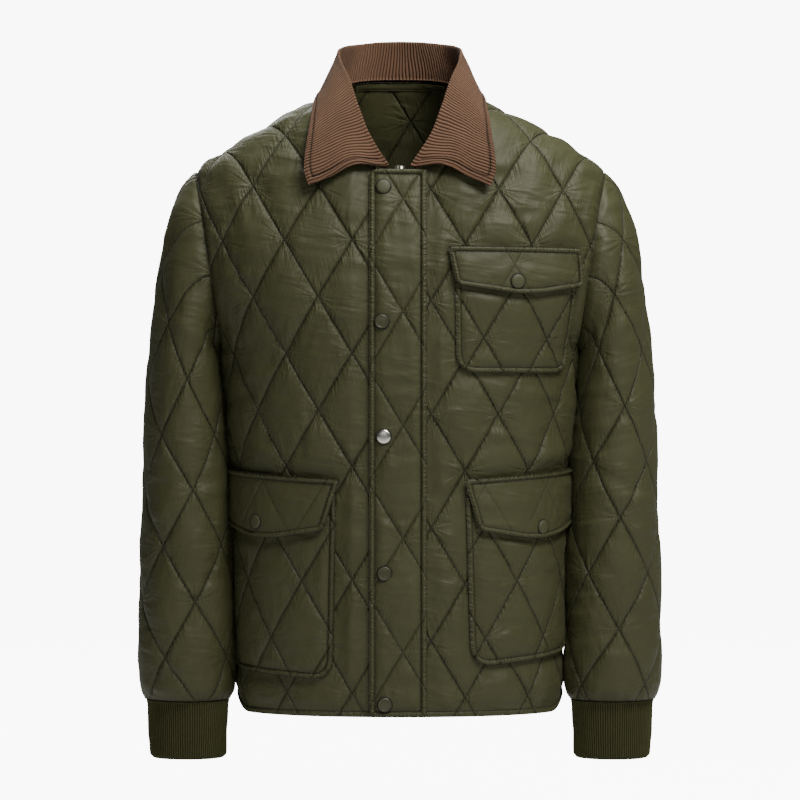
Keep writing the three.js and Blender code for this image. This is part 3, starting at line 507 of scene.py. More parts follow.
def feed(tree, node, values):
    # inputs of a node by number or name: a socket is linked, anything else is set
    for slot, value in values.items():
        if isinstance(value, bpy.types.NodeSocket):
            tree.links.new(value, node.inputs[slot])
        else:
            node.inputs[slot].default_value = value


def mathNode(tree, operation, first, second=None, clamp=False):
    # one math node; each input is a socket or a number
    node = tree.nodes.new("ShaderNodeMath")
    node.operation = operation
    node.use_clamp = clamp
    feed(tree, node, {0: first} if second is None else {0: first, 1: second})
    return node.outputs[0]


# sums, differences, products and quotients of sockets or numbers
def add(tree, first, second, clamp=False):
    return mathNode(tree, "ADD", first, second, clamp)


def subtract(tree, first, second, clamp=False):
    return mathNode(tree, "SUBTRACT", first, second, clamp)


def multiply(tree, first, second, clamp=False):
    return mathNode(tree, "MULTIPLY", first, second, clamp)


def divide(tree, first, second, clamp=False):
    return mathNode(tree, "DIVIDE", first, second, clamp)


def larger(tree, first, second):
    # the larger of two
    return mathNode(tree, "MAXIMUM", first, second)


def fading(tree, away, run):
    # 1 on the line, and e to the power of minus distance over run beside it
    return mathNode(tree, "EXPONENT", multiply(tree, away, -1 / run))


def mixColour(tree, share, first, second):
    # first where the share is 0, second where it is 1; a colour is a socket or three numbers
    node = tree.nodes.new("ShaderNodeMix")
    node.data_type = "RGBA"
    first, second = ((*colour, 1) if isinstance(colour, tuple) else colour for colour in (first, second))
    feed(tree, node, {0: share, 6: first, 7: second})
    return node.outputs[2]


def bumpNode(tree, height, distance, strength, normal=None):
    # tilts the normal by the slope of a height, over the normal that is there
    node = tree.nodes.new("ShaderNodeBump")
    feed(tree, node, {"Strength": strength, "Distance": distance, "Height": height})
    if normal is not None:
        feed(tree, node, {"Normal": normal})
    return node.outputs["Normal"]


def noiseNode(tree, vector, detail=2.0, roughness=0.5):
    # smooth random values from 0 to 1, one step apart in the vector
    node = tree.nodes.new("ShaderNodeTexNoise")
    feed(tree, node, {"Scale": 1.0, "Detail": detail, "Roughness": roughness, "Vector": vector})
    return node.outputs[0]


def scaled(tree, vector, by):
    # each coordinate times its own number
    node = tree.nodes.new("ShaderNodeMapping")
    feed(tree, node, {"Scale": by, "Vector": vector})
    return node.outputs[0]


def slanted(tree, vector, turn, by):
    # the places turned by an angle, then stretched
    node = tree.nodes.new("ShaderNodeMapping")
    feed(tree, node, {"Rotation": (0, 0, turn), "Vector": vector})
    return scaled(tree, node.outputs[0], by)


def combined(tree, *values):
    # a vector from its coordinates
    node = tree.nodes.new("ShaderNodeCombineXYZ")
    feed(tree, node, dict(enumerate(values)))
    return node.outputs[0]


def coordinates(tree, vector):
    # the three coordinates of a vector
    node = tree.nodes.new("ShaderNodeSeparateXYZ")
    tree.links.new(vector, node.inputs[0])
    return node.outputs


def uvNode(tree, name):
    # places on the piece's own flat pattern, in metres, or its stitch coordinates
    node = tree.nodes.new("ShaderNodeUVMap")
    node.uv_map = name
    return node.outputs[0]


def objectNode(tree):
    # places in the piece's own frame, in metres
    return tree.nodes.new("ShaderNodeTexCoord").outputs["Object"]


def attributeNode(tree, name):
    # a number kept at each point of the piece
    node = tree.nodes.new("ShaderNodeAttribute")
    node.attribute_name = name
    return node.outputs["Fac"]


def groupNode(tree, group, values):
    # a shader group placed in a tree, with its inputs
    node = tree.nodes.new("ShaderNodeGroup")
    node.node_tree = group
    feed(tree, node, values)
    return node.outputs


def newGroup(name, takes, kind, gives):
    # an empty shader group with inputs of one kind and numbers as outputs
    group = bpy.data.node_groups.new(name, "ShaderNodeTree")
    for socket in takes:
        group.interface.new_socket(socket, in_out="INPUT", socket_type=kind)
    for socket in gives:
        group.interface.new_socket(socket, in_out="OUTPUT", socket_type="NodeSocketFloat")
    return group, group.nodes.new("NodeGroupInput").outputs, group.nodes.new("NodeGroupOutput")


# Thread: length of one stitch with its gap, share that is thread, half width, all in mm, and how
# sharply a stitch ends
thread = {"stitch": 3.4, "share": 0.72, "half": 0.34, "sharp": 16.0}


def stitchGroup():
    # Mask of sewing thread: root of what is left of the half width at this distance from the line,
    # where the run along the line is on a stitch and not in its gap
    group, given, result = newGroup("stitch", ("Distance", "Along"), "NodeSocketFloat", ("Mask",))
    away = mathNode(group, "ABSOLUTE", given["Distance"])
    near = subtract(group, 1.0, divide(group, away, thread["half"]), clamp=True)
    step = mathNode(group, "FRACT", divide(group, given["Along"], thread["stitch"]))
    ends = mathNode(group, "PINGPONG", step, 0.5)
    ends = subtract(group, ends, (1 - thread["share"]) / 2)
    stitch = multiply(group, ends, thread["sharp"], clamp=True)
    feed(group, result, {"Mask": multiply(group, mathNode(group, "SQRT", near), stitch)})
    return group


stitchNodes = stitchGroup()


def stitchMask(tree, distance, along):
    # the thread's mask in another tree
    return groupNode(tree, stitchNodes, {"Distance": distance, "Along": along})["Mask"]


# Small folds at the stitch lines: reach of the valley, spacing, length, reach and lean of the puckers,
# in mm; fans is how many creases a radian holds round a crossing, fanRun how far out they are deepest
# and fanTurn how far one runs before it changes
foldLook = {"valleyRun": 1.0, "puckerStep": 3.4, "puckerLength": 16.0, "puckerRun": 7.0, "puckerLean": 0.45,
            "fans": 4.4, "fanRun": 12.0, "fanTurn": 34.0}
# Steps in the noise from one line, side or crossing to the next, so that no two are alike
apart = {"line": 7.3, "side": 1.9, "crossing": (5.3, 8.9)}


def quiltGroup():
    # Masks along both families of quilt lines, from their coordinates: Thread, 1 on the sewing;
    # Valley, falling off within a few mm of a line; Pucker, small folds that run away from the lines;
    # Fan, creases round the nearest crossing, noise by direction times distance over run times fading
    names = ("Thread", "Valley", "Pucker", "Fan")
    group, given, result = newGroup("quilt_lines", ("Lines",), "NodeSocketVector", names)
    lines = coordinates(group, given["Lines"])
    threads, valleys, puckers, offsets, homes = [], [], [], [], []
    for own, other in ((0, 1), (1, 0)):
        number = mathNode(group, "ROUND", lines[own])
        offset = subtract(group, lines[own], number)
        signed = multiply(group, offset, lineSpacing)
        away = mathNode(group, "ABSOLUTE", signed)
        along = multiply(group, lines[other], lineLength)
        side = add(group, multiply(group, number, apart["line"]),
                   multiply(group, mathNode(group, "SIGN", signed), apart["side"]))
        lean = add(group, along, multiply(group, signed, foldLook["puckerLean"]))
        spot = combined(group, divide(group, lean, foldLook["puckerStep"]),
                        divide(group, away, foldLook["puckerLength"]), side)
        small = subtract(group, noiseNode(group, spot, 1.0), 0.5)
        threads.append(stitchMask(group, signed, along))
        valleys.append(fading(group, away, foldLook["valleyRun"]))
        puckers.append(multiply(group, small, fading(group, away, foldLook["puckerRun"])))
        offsets.append(offset)
        homes.append(multiply(group, number, apart["crossing"][own]))
    sideways = multiply(group, add(group, *offsets), quilt["width"] / 2)
    upright = multiply(group, subtract(group, offsets[1], offsets[0]), quilt["height"] / 2)
    squares = [multiply(group, way, way) for way in (sideways, upright)]
    far = mathNode(group, "SQRT", add(group, squares[0], add(group, squares[1], 0.5)))
    around = [multiply(group, divide(group, way, far), foldLook["fans"]) for way in (sideways, upright)]
    outward = add(group, add(group, *homes), divide(group, far, foldLook["fanTurn"]))
    fan = subtract(group, noiseNode(group, combined(group, *around, outward), 1.0, 0.4), 0.5)
    reach = multiply(group, fading(group, far, foldLook["fanRun"]), divide(group, far, foldLook["fanRun"]))
    feed(group, result, {"Thread": larger(group, *threads), "Valley": larger(group, *valleys),
                         "Pucker": add(group, *puckers), "Fan": multiply(group, fan, reach)})
    return group


quiltNodes = quiltGroup()

# Shell cloth: colours in linear light, gloss of the satin side, heights of its folds in metres;
# rungStep is the spacing of the wrinkles on a rolled edge, in mm
shellLook = {"light": (0.061, 0.063, 0.026), "dark": (0.045, 0.046, 0.017), "thread": (0.010, 0.010, 0.003),
             "roughness": 0.57, "specular": 0.30, "sheen": 0.05, "sheenTint": (0.60, 0.60, 0.40),
             "crease": 0.0018, "drag": 0.0020, "weave": 0.00003, "stitch": 0.0004, "pucker": 0.0023,
             "fan": 0.0042, "valley": 0.0024, "rungs": 0.0015, "rungStep": 2.1}


def shellMaterial(name, quilted=True, lineShare=1.0):
    # Colour between dark and light by wide patches, with painted shade in the valleys and darker on thread;
    # the normal is tilted by creases, drags, folds at the stitches and the weave in turn.
    # lineShare: how strongly the quilt lines show on this layer
    material, tree, shader = newMaterial(name)
    place = objectNode(tree)
    pattern = uvNode(tree, "pattern")
    fromLine = attributeNode(tree, "topstitch")
    edgeRun = attributeNode(tree, "edgeRun")
    wide = noiseNode(tree, scaled(tree, place, (9, 9, 9)))
    colour = mixColour(tree, wide, shellLook["dark"], shellLook["light"])
    # groove along the topstitching: painted shade in the colour below, and a dent in the normal further down
    beside = mathNode(tree, "ABSOLUTE", add(tree, fromLine, 0.3))
    groove = fading(tree, beside, 1 / 1.3)
    valley = larger(tree, attributeNode(tree, "valley"), groove)
    mask = stitchMask(tree, fromLine, edgeRun)
    if quilted:
        quilting = groupNode(tree, quiltNodes, {"Lines": uvNode(tree, "quilt")})
        mask = larger(tree, mask, multiply(tree, quilting["Thread"], lineShare))
        valley = larger(tree, valley, multiply(tree, quilting["Valley"], 0.8 * lineShare))
    # painted shade: the colour goes towards a quarter of the dark tone in the valleys at seams, layer edges,
    # topstitching and quilt lines
    colour = mixColour(tree, multiply(tree, valley, 0.75), colour, tuple(c * 0.25 for c in shellLook["dark"]))
    colour = mixColour(tree, multiply(tree, mask, 0.7), colour, shellLook["thread"])
    # long soft creases: noise stretched along a slant, most of them steep, a few nearly level
    steep = noiseNode(tree, slanted(tree, pattern, 0.35, (88, 20, 1)), 1.0, 0.4)
    level = noiseNode(tree, slanted(tree, pattern, 1.85, (76, 17, 1)), 1.0, 0.4)
    patches = multiply(tree, subtract(tree, wide, 0.42), 3.0, clamp=True)
    creases = add(tree, multiply(tree, steep, subtract(tree, 1.0, patches)), multiply(tree, level, patches))
    normal = bumpNode(tree, creases, shellLook["crease"], 0.8)
    # fine nearly level drags in patches
    drags = noiseNode(tree, slanted(tree, pattern, 0.16, (28, 150, 1)), 1.0, 0.4)
    where = noiseNode(tree, scaled(tree, place, (21, 21, 27)), 1.0)
    where = multiply(tree, subtract(tree, where, 0.44), 6.0, clamp=True)
    normal = bumpNode(tree, multiply(tree, drags, where), shellLook["drag"], 0.8, normal)
    if quilted:
        normal = bumpNode(tree, quilting["Pucker"], shellLook["pucker"] * lineShare, 1.0, normal)
        normal = bumpNode(tree, quilting["Fan"], shellLook["fan"] * lineShare, 1.0, normal)
        trough = multiply(tree, quilting["Valley"], -1.0)
        normal = bumpNode(tree, trough, shellLook["valley"] * lineShare, 0.9, normal)
    # rungs: small slanted wrinkles across the roll between an edge and its topstitching
    run = add(tree, edgeRun, multiply(tree, fromLine, 0.35))
    spot = combined(tree, divide(tree, run, shellLook["rungStep"]), divide(tree, fromLine, 14.0))
    onRoll = multiply(tree, subtract(tree, 1.2, fromLine), 0.6, clamp=True)
    rungs = multiply(tree, noiseNode(tree, spot, 0.0), onRoll)
    normal = bumpNode(tree, rungs, shellLook["rungs"], 0.9, normal)
    normal = bumpNode(tree, multiply(tree, groove, -1.0), shellLook["valley"], 0.8, normal)
    weave = noiseNode(tree, scaled(tree, pattern, (2600, 2600, 1)), 0.0)
    normal = bumpNode(tree, weave, shellLook["weave"], 0.5, normal)
    normal = bumpNode(tree, mask, shellLook["stitch"], 0.8, normal)
    rough = add(tree, multiply(tree, wide, 0.10), shellLook["roughness"] - 0.05)
    feed(tree, shader, {"Base Color": colour, "Normal": normal, "Roughness": rough})
    shader.inputs["Specular IOR Level"].default_value = shellLook["specular"]
    shader.inputs["Sheen Weight"].default_value = shellLook["sheen"]
    shader.inputs["Sheen Roughness"].default_value = 0.45
    shader.inputs["Sheen Tint"].default_value = (*shellLook["sheenTint"], 1)
    return material


# Corduroy: the pile stands in wales; spacing in mm, colours in linear light with low as the painted shade
# between the wales, heights in metres
cordLook = {"wale": 3.5, "sway": 1.6, "high": (0.165, 0.088, 0.051), "low": (0.010, 0.0045, 0.0022),
            "thread": (0.03, 0.012, 0.006), "relief": 0.0018, "groove": 0.002}


def cordMaterial(name):
    # Wale = 1 - |2 * offset| ^ 2.6, from the distance to the middle of the nearest wale.
    # The wales run across the band, so they are counted along the neckline
    material, tree, shader = newMaterial(name)
    place = objectNode(tree)
    pattern = uvNode(tree, "pattern")
    sway = noiseNode(tree, scaled(tree, pattern, (30, 30, 1)), 1.0)
    count = multiply(tree, coordinates(tree, pattern)[0], 1 / (cordLook["wale"] * mm))
    count = add(tree, count, multiply(tree, sway, cordLook["sway"]))
    off = mathNode(tree, "ABSOLUTE", subtract(tree, mathNode(tree, "FRACT", count), 0.5))
    wale = subtract(tree, 1.0, mathNode(tree, "POWER", multiply(tree, off, 2.0), 2.6))
    nap = noiseNode(tree, scaled(tree, place, (420, 420, 420)), 3.0, 0.7)
    patch = noiseNode(tree, scaled(tree, place, (38, 38, 38)))
    shade = add(tree, multiply(tree, nap, 0.35), multiply(tree, patch, 0.4))
    dull, bright = (tuple(c * part for c in cordLook["high"]) for part in (0.62, 1.3))
    # painted shade: near black in the grooves between the wales, where the wale share falls to 0
    colour = mixColour(tree, wale, cordLook["low"], mixColour(tree, shade, dull, bright))
    fromLine = attributeNode(tree, "topstitch")
    mask = stitchMask(tree, fromLine, attributeNode(tree, "edgeRun"))
    colour = mixColour(tree, multiply(tree, mask, 0.8), colour, cordLook["thread"])
    # painted shade: darker in the groove along the topstitching; the groove also dents the normal
    groove = fading(tree, mathNode(tree, "ABSOLUTE", fromLine), 1 / 1.1)
    colour = mixColour(tree, multiply(tree, groove, 0.8), colour, cordLook["low"])
    height = add(tree, wale, multiply(tree, nap, 0.22))
    normal = bumpNode(tree, height, cordLook["relief"], 0.9)
    normal = bumpNode(tree, multiply(tree, groove, -1.0), cordLook["groove"], 0.9, normal)
    feed(tree, shader, {"Base Color": colour, "Normal": normal})
    shader.inputs["Roughness"].default_value = 0.92
    shader.inputs["Specular IOR Level"].default_value = 0.2
    shader.inputs["Sheen Weight"].default_value = 0.12
    shader.inputs["Sheen Roughness"].default_value = 0.5
    shader.inputs["Sheen Tint"].default_value = (0.75, 0.50, 0.33, 1)
    return material


# Rib knit of the cuffs: colours between the ribs, a painted shade, and on the ribs, height of a row of
# stitches in mm
knitLook = {"low": (0.012, 0.012, 0.004), "high": (0.085, 0.086, 0.030), "stitch": 2.2, "relief": 0.0003}


def knitMaterial(name):
    # lighter colour on the ribs and painted shade between them, times a fine nap; stitches rise and fall
    # along each rib
    material, tree, shader = newMaterial(name)
    row = multiply(tree, coordinates(tree, uvNode(tree, "pattern"))[1], 1 / (knitLook["stitch"] * mm))
    loop = mathNode(tree, "PINGPONG", row, 0.5)
    nap = noiseNode(tree, scaled(tree, objectNode(tree), (700, 700, 500)), 2.0, 0.6)
    # painted shade between the ribs: the colour falls to the low tone where the rib share is 0
    share = multiply(tree, attributeNode(tree, "rib"), add(tree, multiply(tree, nap, 0.7), 0.3))
    height = add(tree, multiply(tree, loop, 0.8), multiply(tree, nap, 0.5))
    feed(tree, shader, {"Base Color": mixColour(tree, share, knitLook["low"], knitLook["high"]),
                        "Normal": bumpNode(tree, height, knitLook["relief"], 0.6)})
    shader.inputs["Roughness"].default_value = 0.95
    shader.inputs["Specular IOR Level"].default_value = 0.15
    shader.inputs["Sheen Weight"].default_value = 0.08
    shader.inputs["Sheen Roughness"].default_value = 0.6
    shader.inputs["Sheen Tint"].default_value = (0.6, 0.6, 0.45, 1)
    return material


def plainMaterial(name, colour, roughness, metallic=0.0, coat=0.0, grain=0.0):
    # one colour all over, with a fine grain where it isn't polished
    material, tree, shader = newMaterial(name)
    shader.inputs["Base Color"].default_value = (*colour, 1)
    shader.inputs["Metallic"].default_value = metallic
    shader.inputs["Coat Weight"].default_value = coat
    shader.inputs["Roughness"].default_value = roughness
    if grain:
        bumps = noiseNode(tree, scaled(tree, objectNode(tree), (900, 900, 900)))
        feed(tree, shader, {"Normal": bumpNode(tree, bumps, 0.0003, grain)})
    return material


shell = shellMaterial("shell")
shellPlain = shellMaterial("shell_plain", quilted=False)
shellFlap = shellMaterial("shell_flap", lineShare=0.3)
shellStorm = shellMaterial("shell_storm", lineShare=0.65)
cordFall = cordMaterial("corduroy")
knit = knitMaterial("rib_knit")
olivePaint = plainMaterial("snap_olive", (0.050, 0.051, 0.022), 0.40, 0.25, 0.2, 0.25)
oliveCloth = plainMaterial("snap_cover", (0.052, 0.054, 0.020), 0.6, 0.0, 0.0, 0.9)
# painted shadow: near-black ring round the foot of each snap cap
snapShadow = plainMaterial("snap_shadow_ring", (0.003, 0.003, 0.002), 0.9)
silver = plainMaterial("snap_silver", (0.66, 0.64, 0.58), 0.27, 1.0)
darkTape = plainMaterial("tape", (0.022, 0.022, 0.014), 0.75)
zipPale = plainMaterial("zip_metal", (0.55, 0.52, 0.44), 0.35, 1.0)
print("materials done")


def hemHeight(across, face):
    # level hem with a soft rise over the side seam
    toSide = sectionLength(hem["z"], face)[0][-1] - np.abs(across)
    return hem["z"] + hem["rise"] * smooth(1 - toSide / hem["span"])


def halfEdges(face, neck, middle, gap=0.1):
    # Edges of half a front or back on the pattern: hem, side with armhole, neckline with shoulder, middle
    side = sectionLength(hem["z"], face)[0][-1] - gap
    tip = armhole["x"] + armhole["lean"] - gap - 0.6   # the shoulder point
    across = np.linspace(middle, side, 40)
    hemEdge = np.stack([across, hemHeight(across, face)], axis=-1)
    up = np.linspace(hemEdge[-1, 1], armpitZ - 0.6, 30)
    sideEdge = [(sectionLength(z, face)[0][-1] - gap, z) for z in up]
    for turn in np.linspace(math.pi, 0, 48)[1:]:
        x = armhole["x"] + armhole["lean"] * math.cos(turn) - gap
        sideEdge.append(patternPlace(x, armhole["z"] + armhole["tall"] * math.cos(turn), face))
    sideEdge[-1] = ridgePlace(tip, face)
    neckEdge = []
    for place in np.linspace(0, neck["place"][-1], 30)[:-1]:
        x, z = (float(look(neck, "place", name, place)) for name in ("x", "z"))
        neckEdge.append(patternPlace(x, z, face))
    neckEdge[0] = (middle, neckEdge[0][1])
    shoulderEdge = [ridgePlace(x, face) for x in np.linspace(neckX, tip, 24)]
    topEdge = np.array(neckEdge + shoulderEdge)
    topEdge[:, 1] -= gap
    middleEdge = np.array([(middle, hemEdge[0, 1]), (middle, topEdge[0, 1])])
    sideEdge = np.array(sideEdge)
    sideEdge[-1] = topEdge[-1]
    return hemEdge, sideEdge, topEdge, middleEdge


# Finished hem: width of the roll up to its topstitching and its height; lining: puff of the inner side
hemRoll = {"width": 6.6, "tall": 1.3}
lining = {"body": 3.2, "sleeve": 1.2}
lowest = -1.2     # no fold goes deeper than this under the cloth, in mm
noStitch = 9.0    # distance from the topstitching where there is none
tipCap = {"tall": 4.0, "reach": 62}


def seamTaper(away):
    # share of the puff that is left beside a seam: soft step over the taper, to the power 0.7
    return smooth(away / quilt["taper"]) ** 0.7


def fillTip(relief, tip, toSeam):
    # near the shoulder point, body and sleeve meet at one height: the larger of the relief and a soft cap
    cap = tipCap["tall"] * smooth(1.25 - tip / tipCap["reach"]) * (1 - 0.3 * np.exp(-toSeam / 2.0))
    return np.where(cap > 0, 0.5 * (relief + cap + np.sqrt((relief - cap) ** 2 + 0.6 * (cap > 0))), relief)


def rolledEdge(away, width=hemRoll["width"], tall=hemRoll["tall"]):
    # a soft roll between a finished edge and its topstitching: half a sine wave over its width
    return tall * np.sin(np.pi * np.clip(away / width, 0, 1))


def quiltMap(piece, a, b):
    # Second UV map with the two stitch coordinates, which the thread in the material follows
    layer = piece.data.uv_layers.new(name="quilt")
    places = np.zeros(len(piece.data.loops), dtype=np.int32)
    piece.data.loops.foreach_get("vertex_index", places)
    flat = np.stack([bothSides(a), bothSides(b)], axis=-1)
    layer.data.foreach_set("uv", flat[places].astype(np.float32).ravel())


def coverPress(covers, across, up, reach=2.0, fade=19.0):
    # share of the puff that stays: little under a layer that lies on top, all of it beyond its edge
    share = np.ones(np.shape(across))
    for cover in covers:
        ring = np.concatenate([cover, cover[:1]])
        away = np.where(insideOf(cover, across, up), 0.0, runDistance(ring, across, up))
        held = 1 - smooth((away - reach) / fade)
        share = np.minimum(share, 1 - held * (1 - quilt["pressed"] / quilt["puff"]))
    return share


def seamShade(toSeam):
    # 1 in a seam, falling off beside it, for the painted shade along the seam
    return np.exp(-toSeam / 2.2)


def seamWall(toSeam):
    # thickness of the cloth, thinner where it turns into a seam
    return quilt["wall"] * (1 - 0.35 * np.exp(-toSeam / 2.5))


def bodyPanel(name, face, edges, centre, covers, folds, field):
    # Front or back: grid between its edges, placed on the body and raised by wall, puff and folds
    hemEdge, sideEdge, topEdge, middleEdge = edges
    countA = int(np.ceil(runLength(hemEdge[:, 0], hemEdge[:, 1])[-1] / quilt["step"])) + 1
    countB = int(np.ceil(runLength(sideEdge[:, 0], sideEdge[:, 1])[-1] / quilt["step"])) + 1
    across, up = coons(hemEdge, sideEdge, topEdge, middleEdge, countA, countB)
    base = bodyPoint(across, up, face)
    normal = gridNormals(base)
    if np.sum(normal[..., 1]) * face < 0:
        normal = -normal
    toHem = runDistance(hemEdge, across, up)
    seams = (sideEdge, topEdge, middleEdge)
    toSeam = np.min([runDistance(seam, across, up) for seam in seams], axis=0)
    toNext = np.minimum(toSeam, np.maximum(toHem - hemRoll["width"], 0))
    tip = np.hypot(np.abs(across) - topEdge[-1, 0], up - topEdge[-1, 1])
    share = seamTaper(toNext) * coverPress(covers, across, up)
    a, b = quiltLines(across, up, centre)
    puff = quiltHeight(across, up, centre, quilt["puff"], field)
    relief = np.maximum(puff * share, 0) + strokes(folds, across, up) * np.minimum(share, 1)
    relief = fillTip(relief, tip, toSeam)
    relief += rolledEdge(toHem) * (toSeam > 0)
    outer = base + normal * (seamWall(toSeam) + np.maximum(relief, lowest))[..., None]
    inside = quiltHeight(across, up, centre, lining["body"], field + 3, 0.8)
    inner = base - normal * (inside * seamTaper(np.minimum(toSeam, toHem)))[..., None]
    # valley: painted shade along the seams, read by the material's colour
    marks = {"valley": seamShade(toSeam), "topstitch": toHem - hemRoll["width"], "edgeRun": across}
    piece = shellPiece(name, outer, inner, across, up, marks)
    quiltMap(piece, a, b)
    return rideAs(piece, name, shell)


# Outlines on the pattern of what lies on the fronts: rounded corners as (across, up), going round
pocketEdges = {
    "pocket_chest": ((59.5, -184), (199.5, -184), (200, -317), (61, -317)),
    "pocket_low_right": ((71, -440), (231, -428), (231, -627), (77, -640)),
    "pocket_low_left": ((-231, -429), (-69, -439), (-73, -654), (-231, -644)),
    "flap_chest": ((52, -180), (202.5, -180), (205, -220), (137, -232), (61, -222)),
    "flap_low_right": ((69, -434), (236, -421), (238, -480), (160, -503), (84, -490)),
    "flap_low_left": ((-236, -422), (-65, -434), (-82, -490), (-158, -502), (-238, -481)),
}
storm = {"left": -33.5, "right": 29.0, "top": -94.0, "radius": 9.0}
stormTop = patternPlace(0, storm["top"], front)[1]
stormCorners = ((storm["left"], hem["z"] + 0.2), (storm["right"], hem["z"] + 0.2),
                (storm["right"], stormTop - 1), (storm["left"], stormTop))


def roundCorners(corners, radii, steps=9):
    # Outline with each corner replaced by an arc; returns the points and the index of each arc's middle
    points, middles = [], []
    count = len(corners)
    for i, (corner, radius) in enumerate(zip(corners, radii)):
        here = np.array(corner, dtype=float)
        before = np.array(corners[i - 1], dtype=float) - here
        after = np.array(corners[(i + 1) % count], dtype=float) - here
        reach = min(radius, 0.45 * np.linalg.norm(before), 0.45 * np.linalg.norm(after))
        start = here + before / np.linalg.norm(before) * reach
        end = here + after / np.linalg.norm(after) * reach
        t = np.linspace(0, 1, steps)[:, None]
        middles.append(len(points) + steps // 2)
        points.extend((start * (1 - t) ** 2 + here * 2 * t * (1 - t) + end * t ** 2).tolist())
    return np.array(points), middles


coverOutlines = {name: roundCorners(corners, [8] * len(corners))[0] for name, corners in pocketEdges.items()}
coverOutlines["storm_flap"] = roundCorners(stormCorners, [1] * 4)[0]

# Folds given for each panel: start, end, half width and height on the pattern, in mm
rightFolds = (
    (246, -318, 175, -262, 9, 1.8),
    (240, -345, 160, -330, 8, -1.6),
    (205, -80, 168, -175, 10, 1.6),
    (188, -70, 140, -150, 11, -1.4),
    (236, -398, 120, -412, 9, 1.7),
    (60, -360, 150, -385, 10, -1.5),
    (232, -655, 130, -668, 8, 1.3),
)
leftFolds = (
    (-246, -316, -170, -270, 9, 1.9),
    (-242, -350, -150, -342, 8, -1.6),
    (-207, -82, -160, -185, 10, 1.7),
    (-190, -72, -132, -160, 11, -1.4),
    (-238, -392, -110, -404, 9, 1.8),
    (-60, -250, -150, -300, 11, -1.5),
    (-50, -520, -58, -640, 8, 1.4),
    (-234, -662, -140, -672, 8, 1.3),
)
backFolds = (
    (236, -312, 120, -268, 11, 2.0),
    (-238, -318, -130, -262, 11, 2.0),
    (232, -356, 100, -352, 10, -1.7),
    (-232, -350, -90, -362, 10, -1.7),
    (200, -82, 130, -190, 12, 1.7),
    (-202, -84, -120, -182, 12, 1.7),
    (180, -440, -60, -452, 11, 1.6),
    (-190, -470, 40, -486, 11, -1.6),
    (150, -560, 60, -640, 10, 1.4),
    (-160, -548, -84, -632, 10, 1.4),
    (-70, -120, 70, -126, 12, -1.4),
)

rightEdges = halfEdges(front, frontNeck, 5.9)
leftEdges = tuple(edge * (-1, 1) for edge in rightEdges)
backHalf = halfEdges(back, backNeck, 0.0)
mirror = [edge[::-1] * (-1, 1) for edge in backHalf]
backEdges = (np.concatenate([mirror[0][:-1], backHalf[0]]), backHalf[1],
             np.concatenate([mirror[2][:-1], backHalf[2]]), backHalf[1] * (-1, 1))

bodyPanel("front_right", front, rightEdges, (71.0, -301.0),
          [coverOutlines[k] for k in ("storm_flap", "pocket_chest", "pocket_low_right")], rightFolds, 0)
bodyPanel("front_left", front, leftEdges, (-52.4, -296.0),
          [coverOutlines[k] for k in ("storm_flap", "pocket_low_left")], leftFolds, 1)
bodyPanel("back", back, backEdges, (12.7, -270.0), (), backFolds, 2)


# Sleeves: tubes round rings, open along the underarm seam
sleeveFolds = (
    (20, -470, 130, -440, 9, 2.0),
    (35, -452, 140, -418, 8, -1.8),
    (-130, -455, -20, -478, 9, 1.8),
    (-140, -430, -30, -450, 8, -1.6),
    (60, -250, 150, -300, 10, 2.0),
    (-60, -250, -150, -296, 10, 2.0),
    (0, -110, 40, -220, 11, 1.7),
    (-20, -112, -60, -230, 11, 1.6),
    (70, -560, 150, -540, 9, 1.6),
    (10, -585, 100, -600, 9, -1.6),
    (-120, -570, -20, -556, 9, 1.5),
    (30, -640, 120, -628, 8, 1.8),
    (-110, -634, -20, -648, 8, 1.8),
)


# slit is the gap of the underarm seam as an angle, drift the shift of the lattice towards the head
sleeveLook = {"rows": 255, "columns": 167, "slit": 0.12 / 50, "drift": 11.0, "tilt": 0.12, "gather": 1.6}


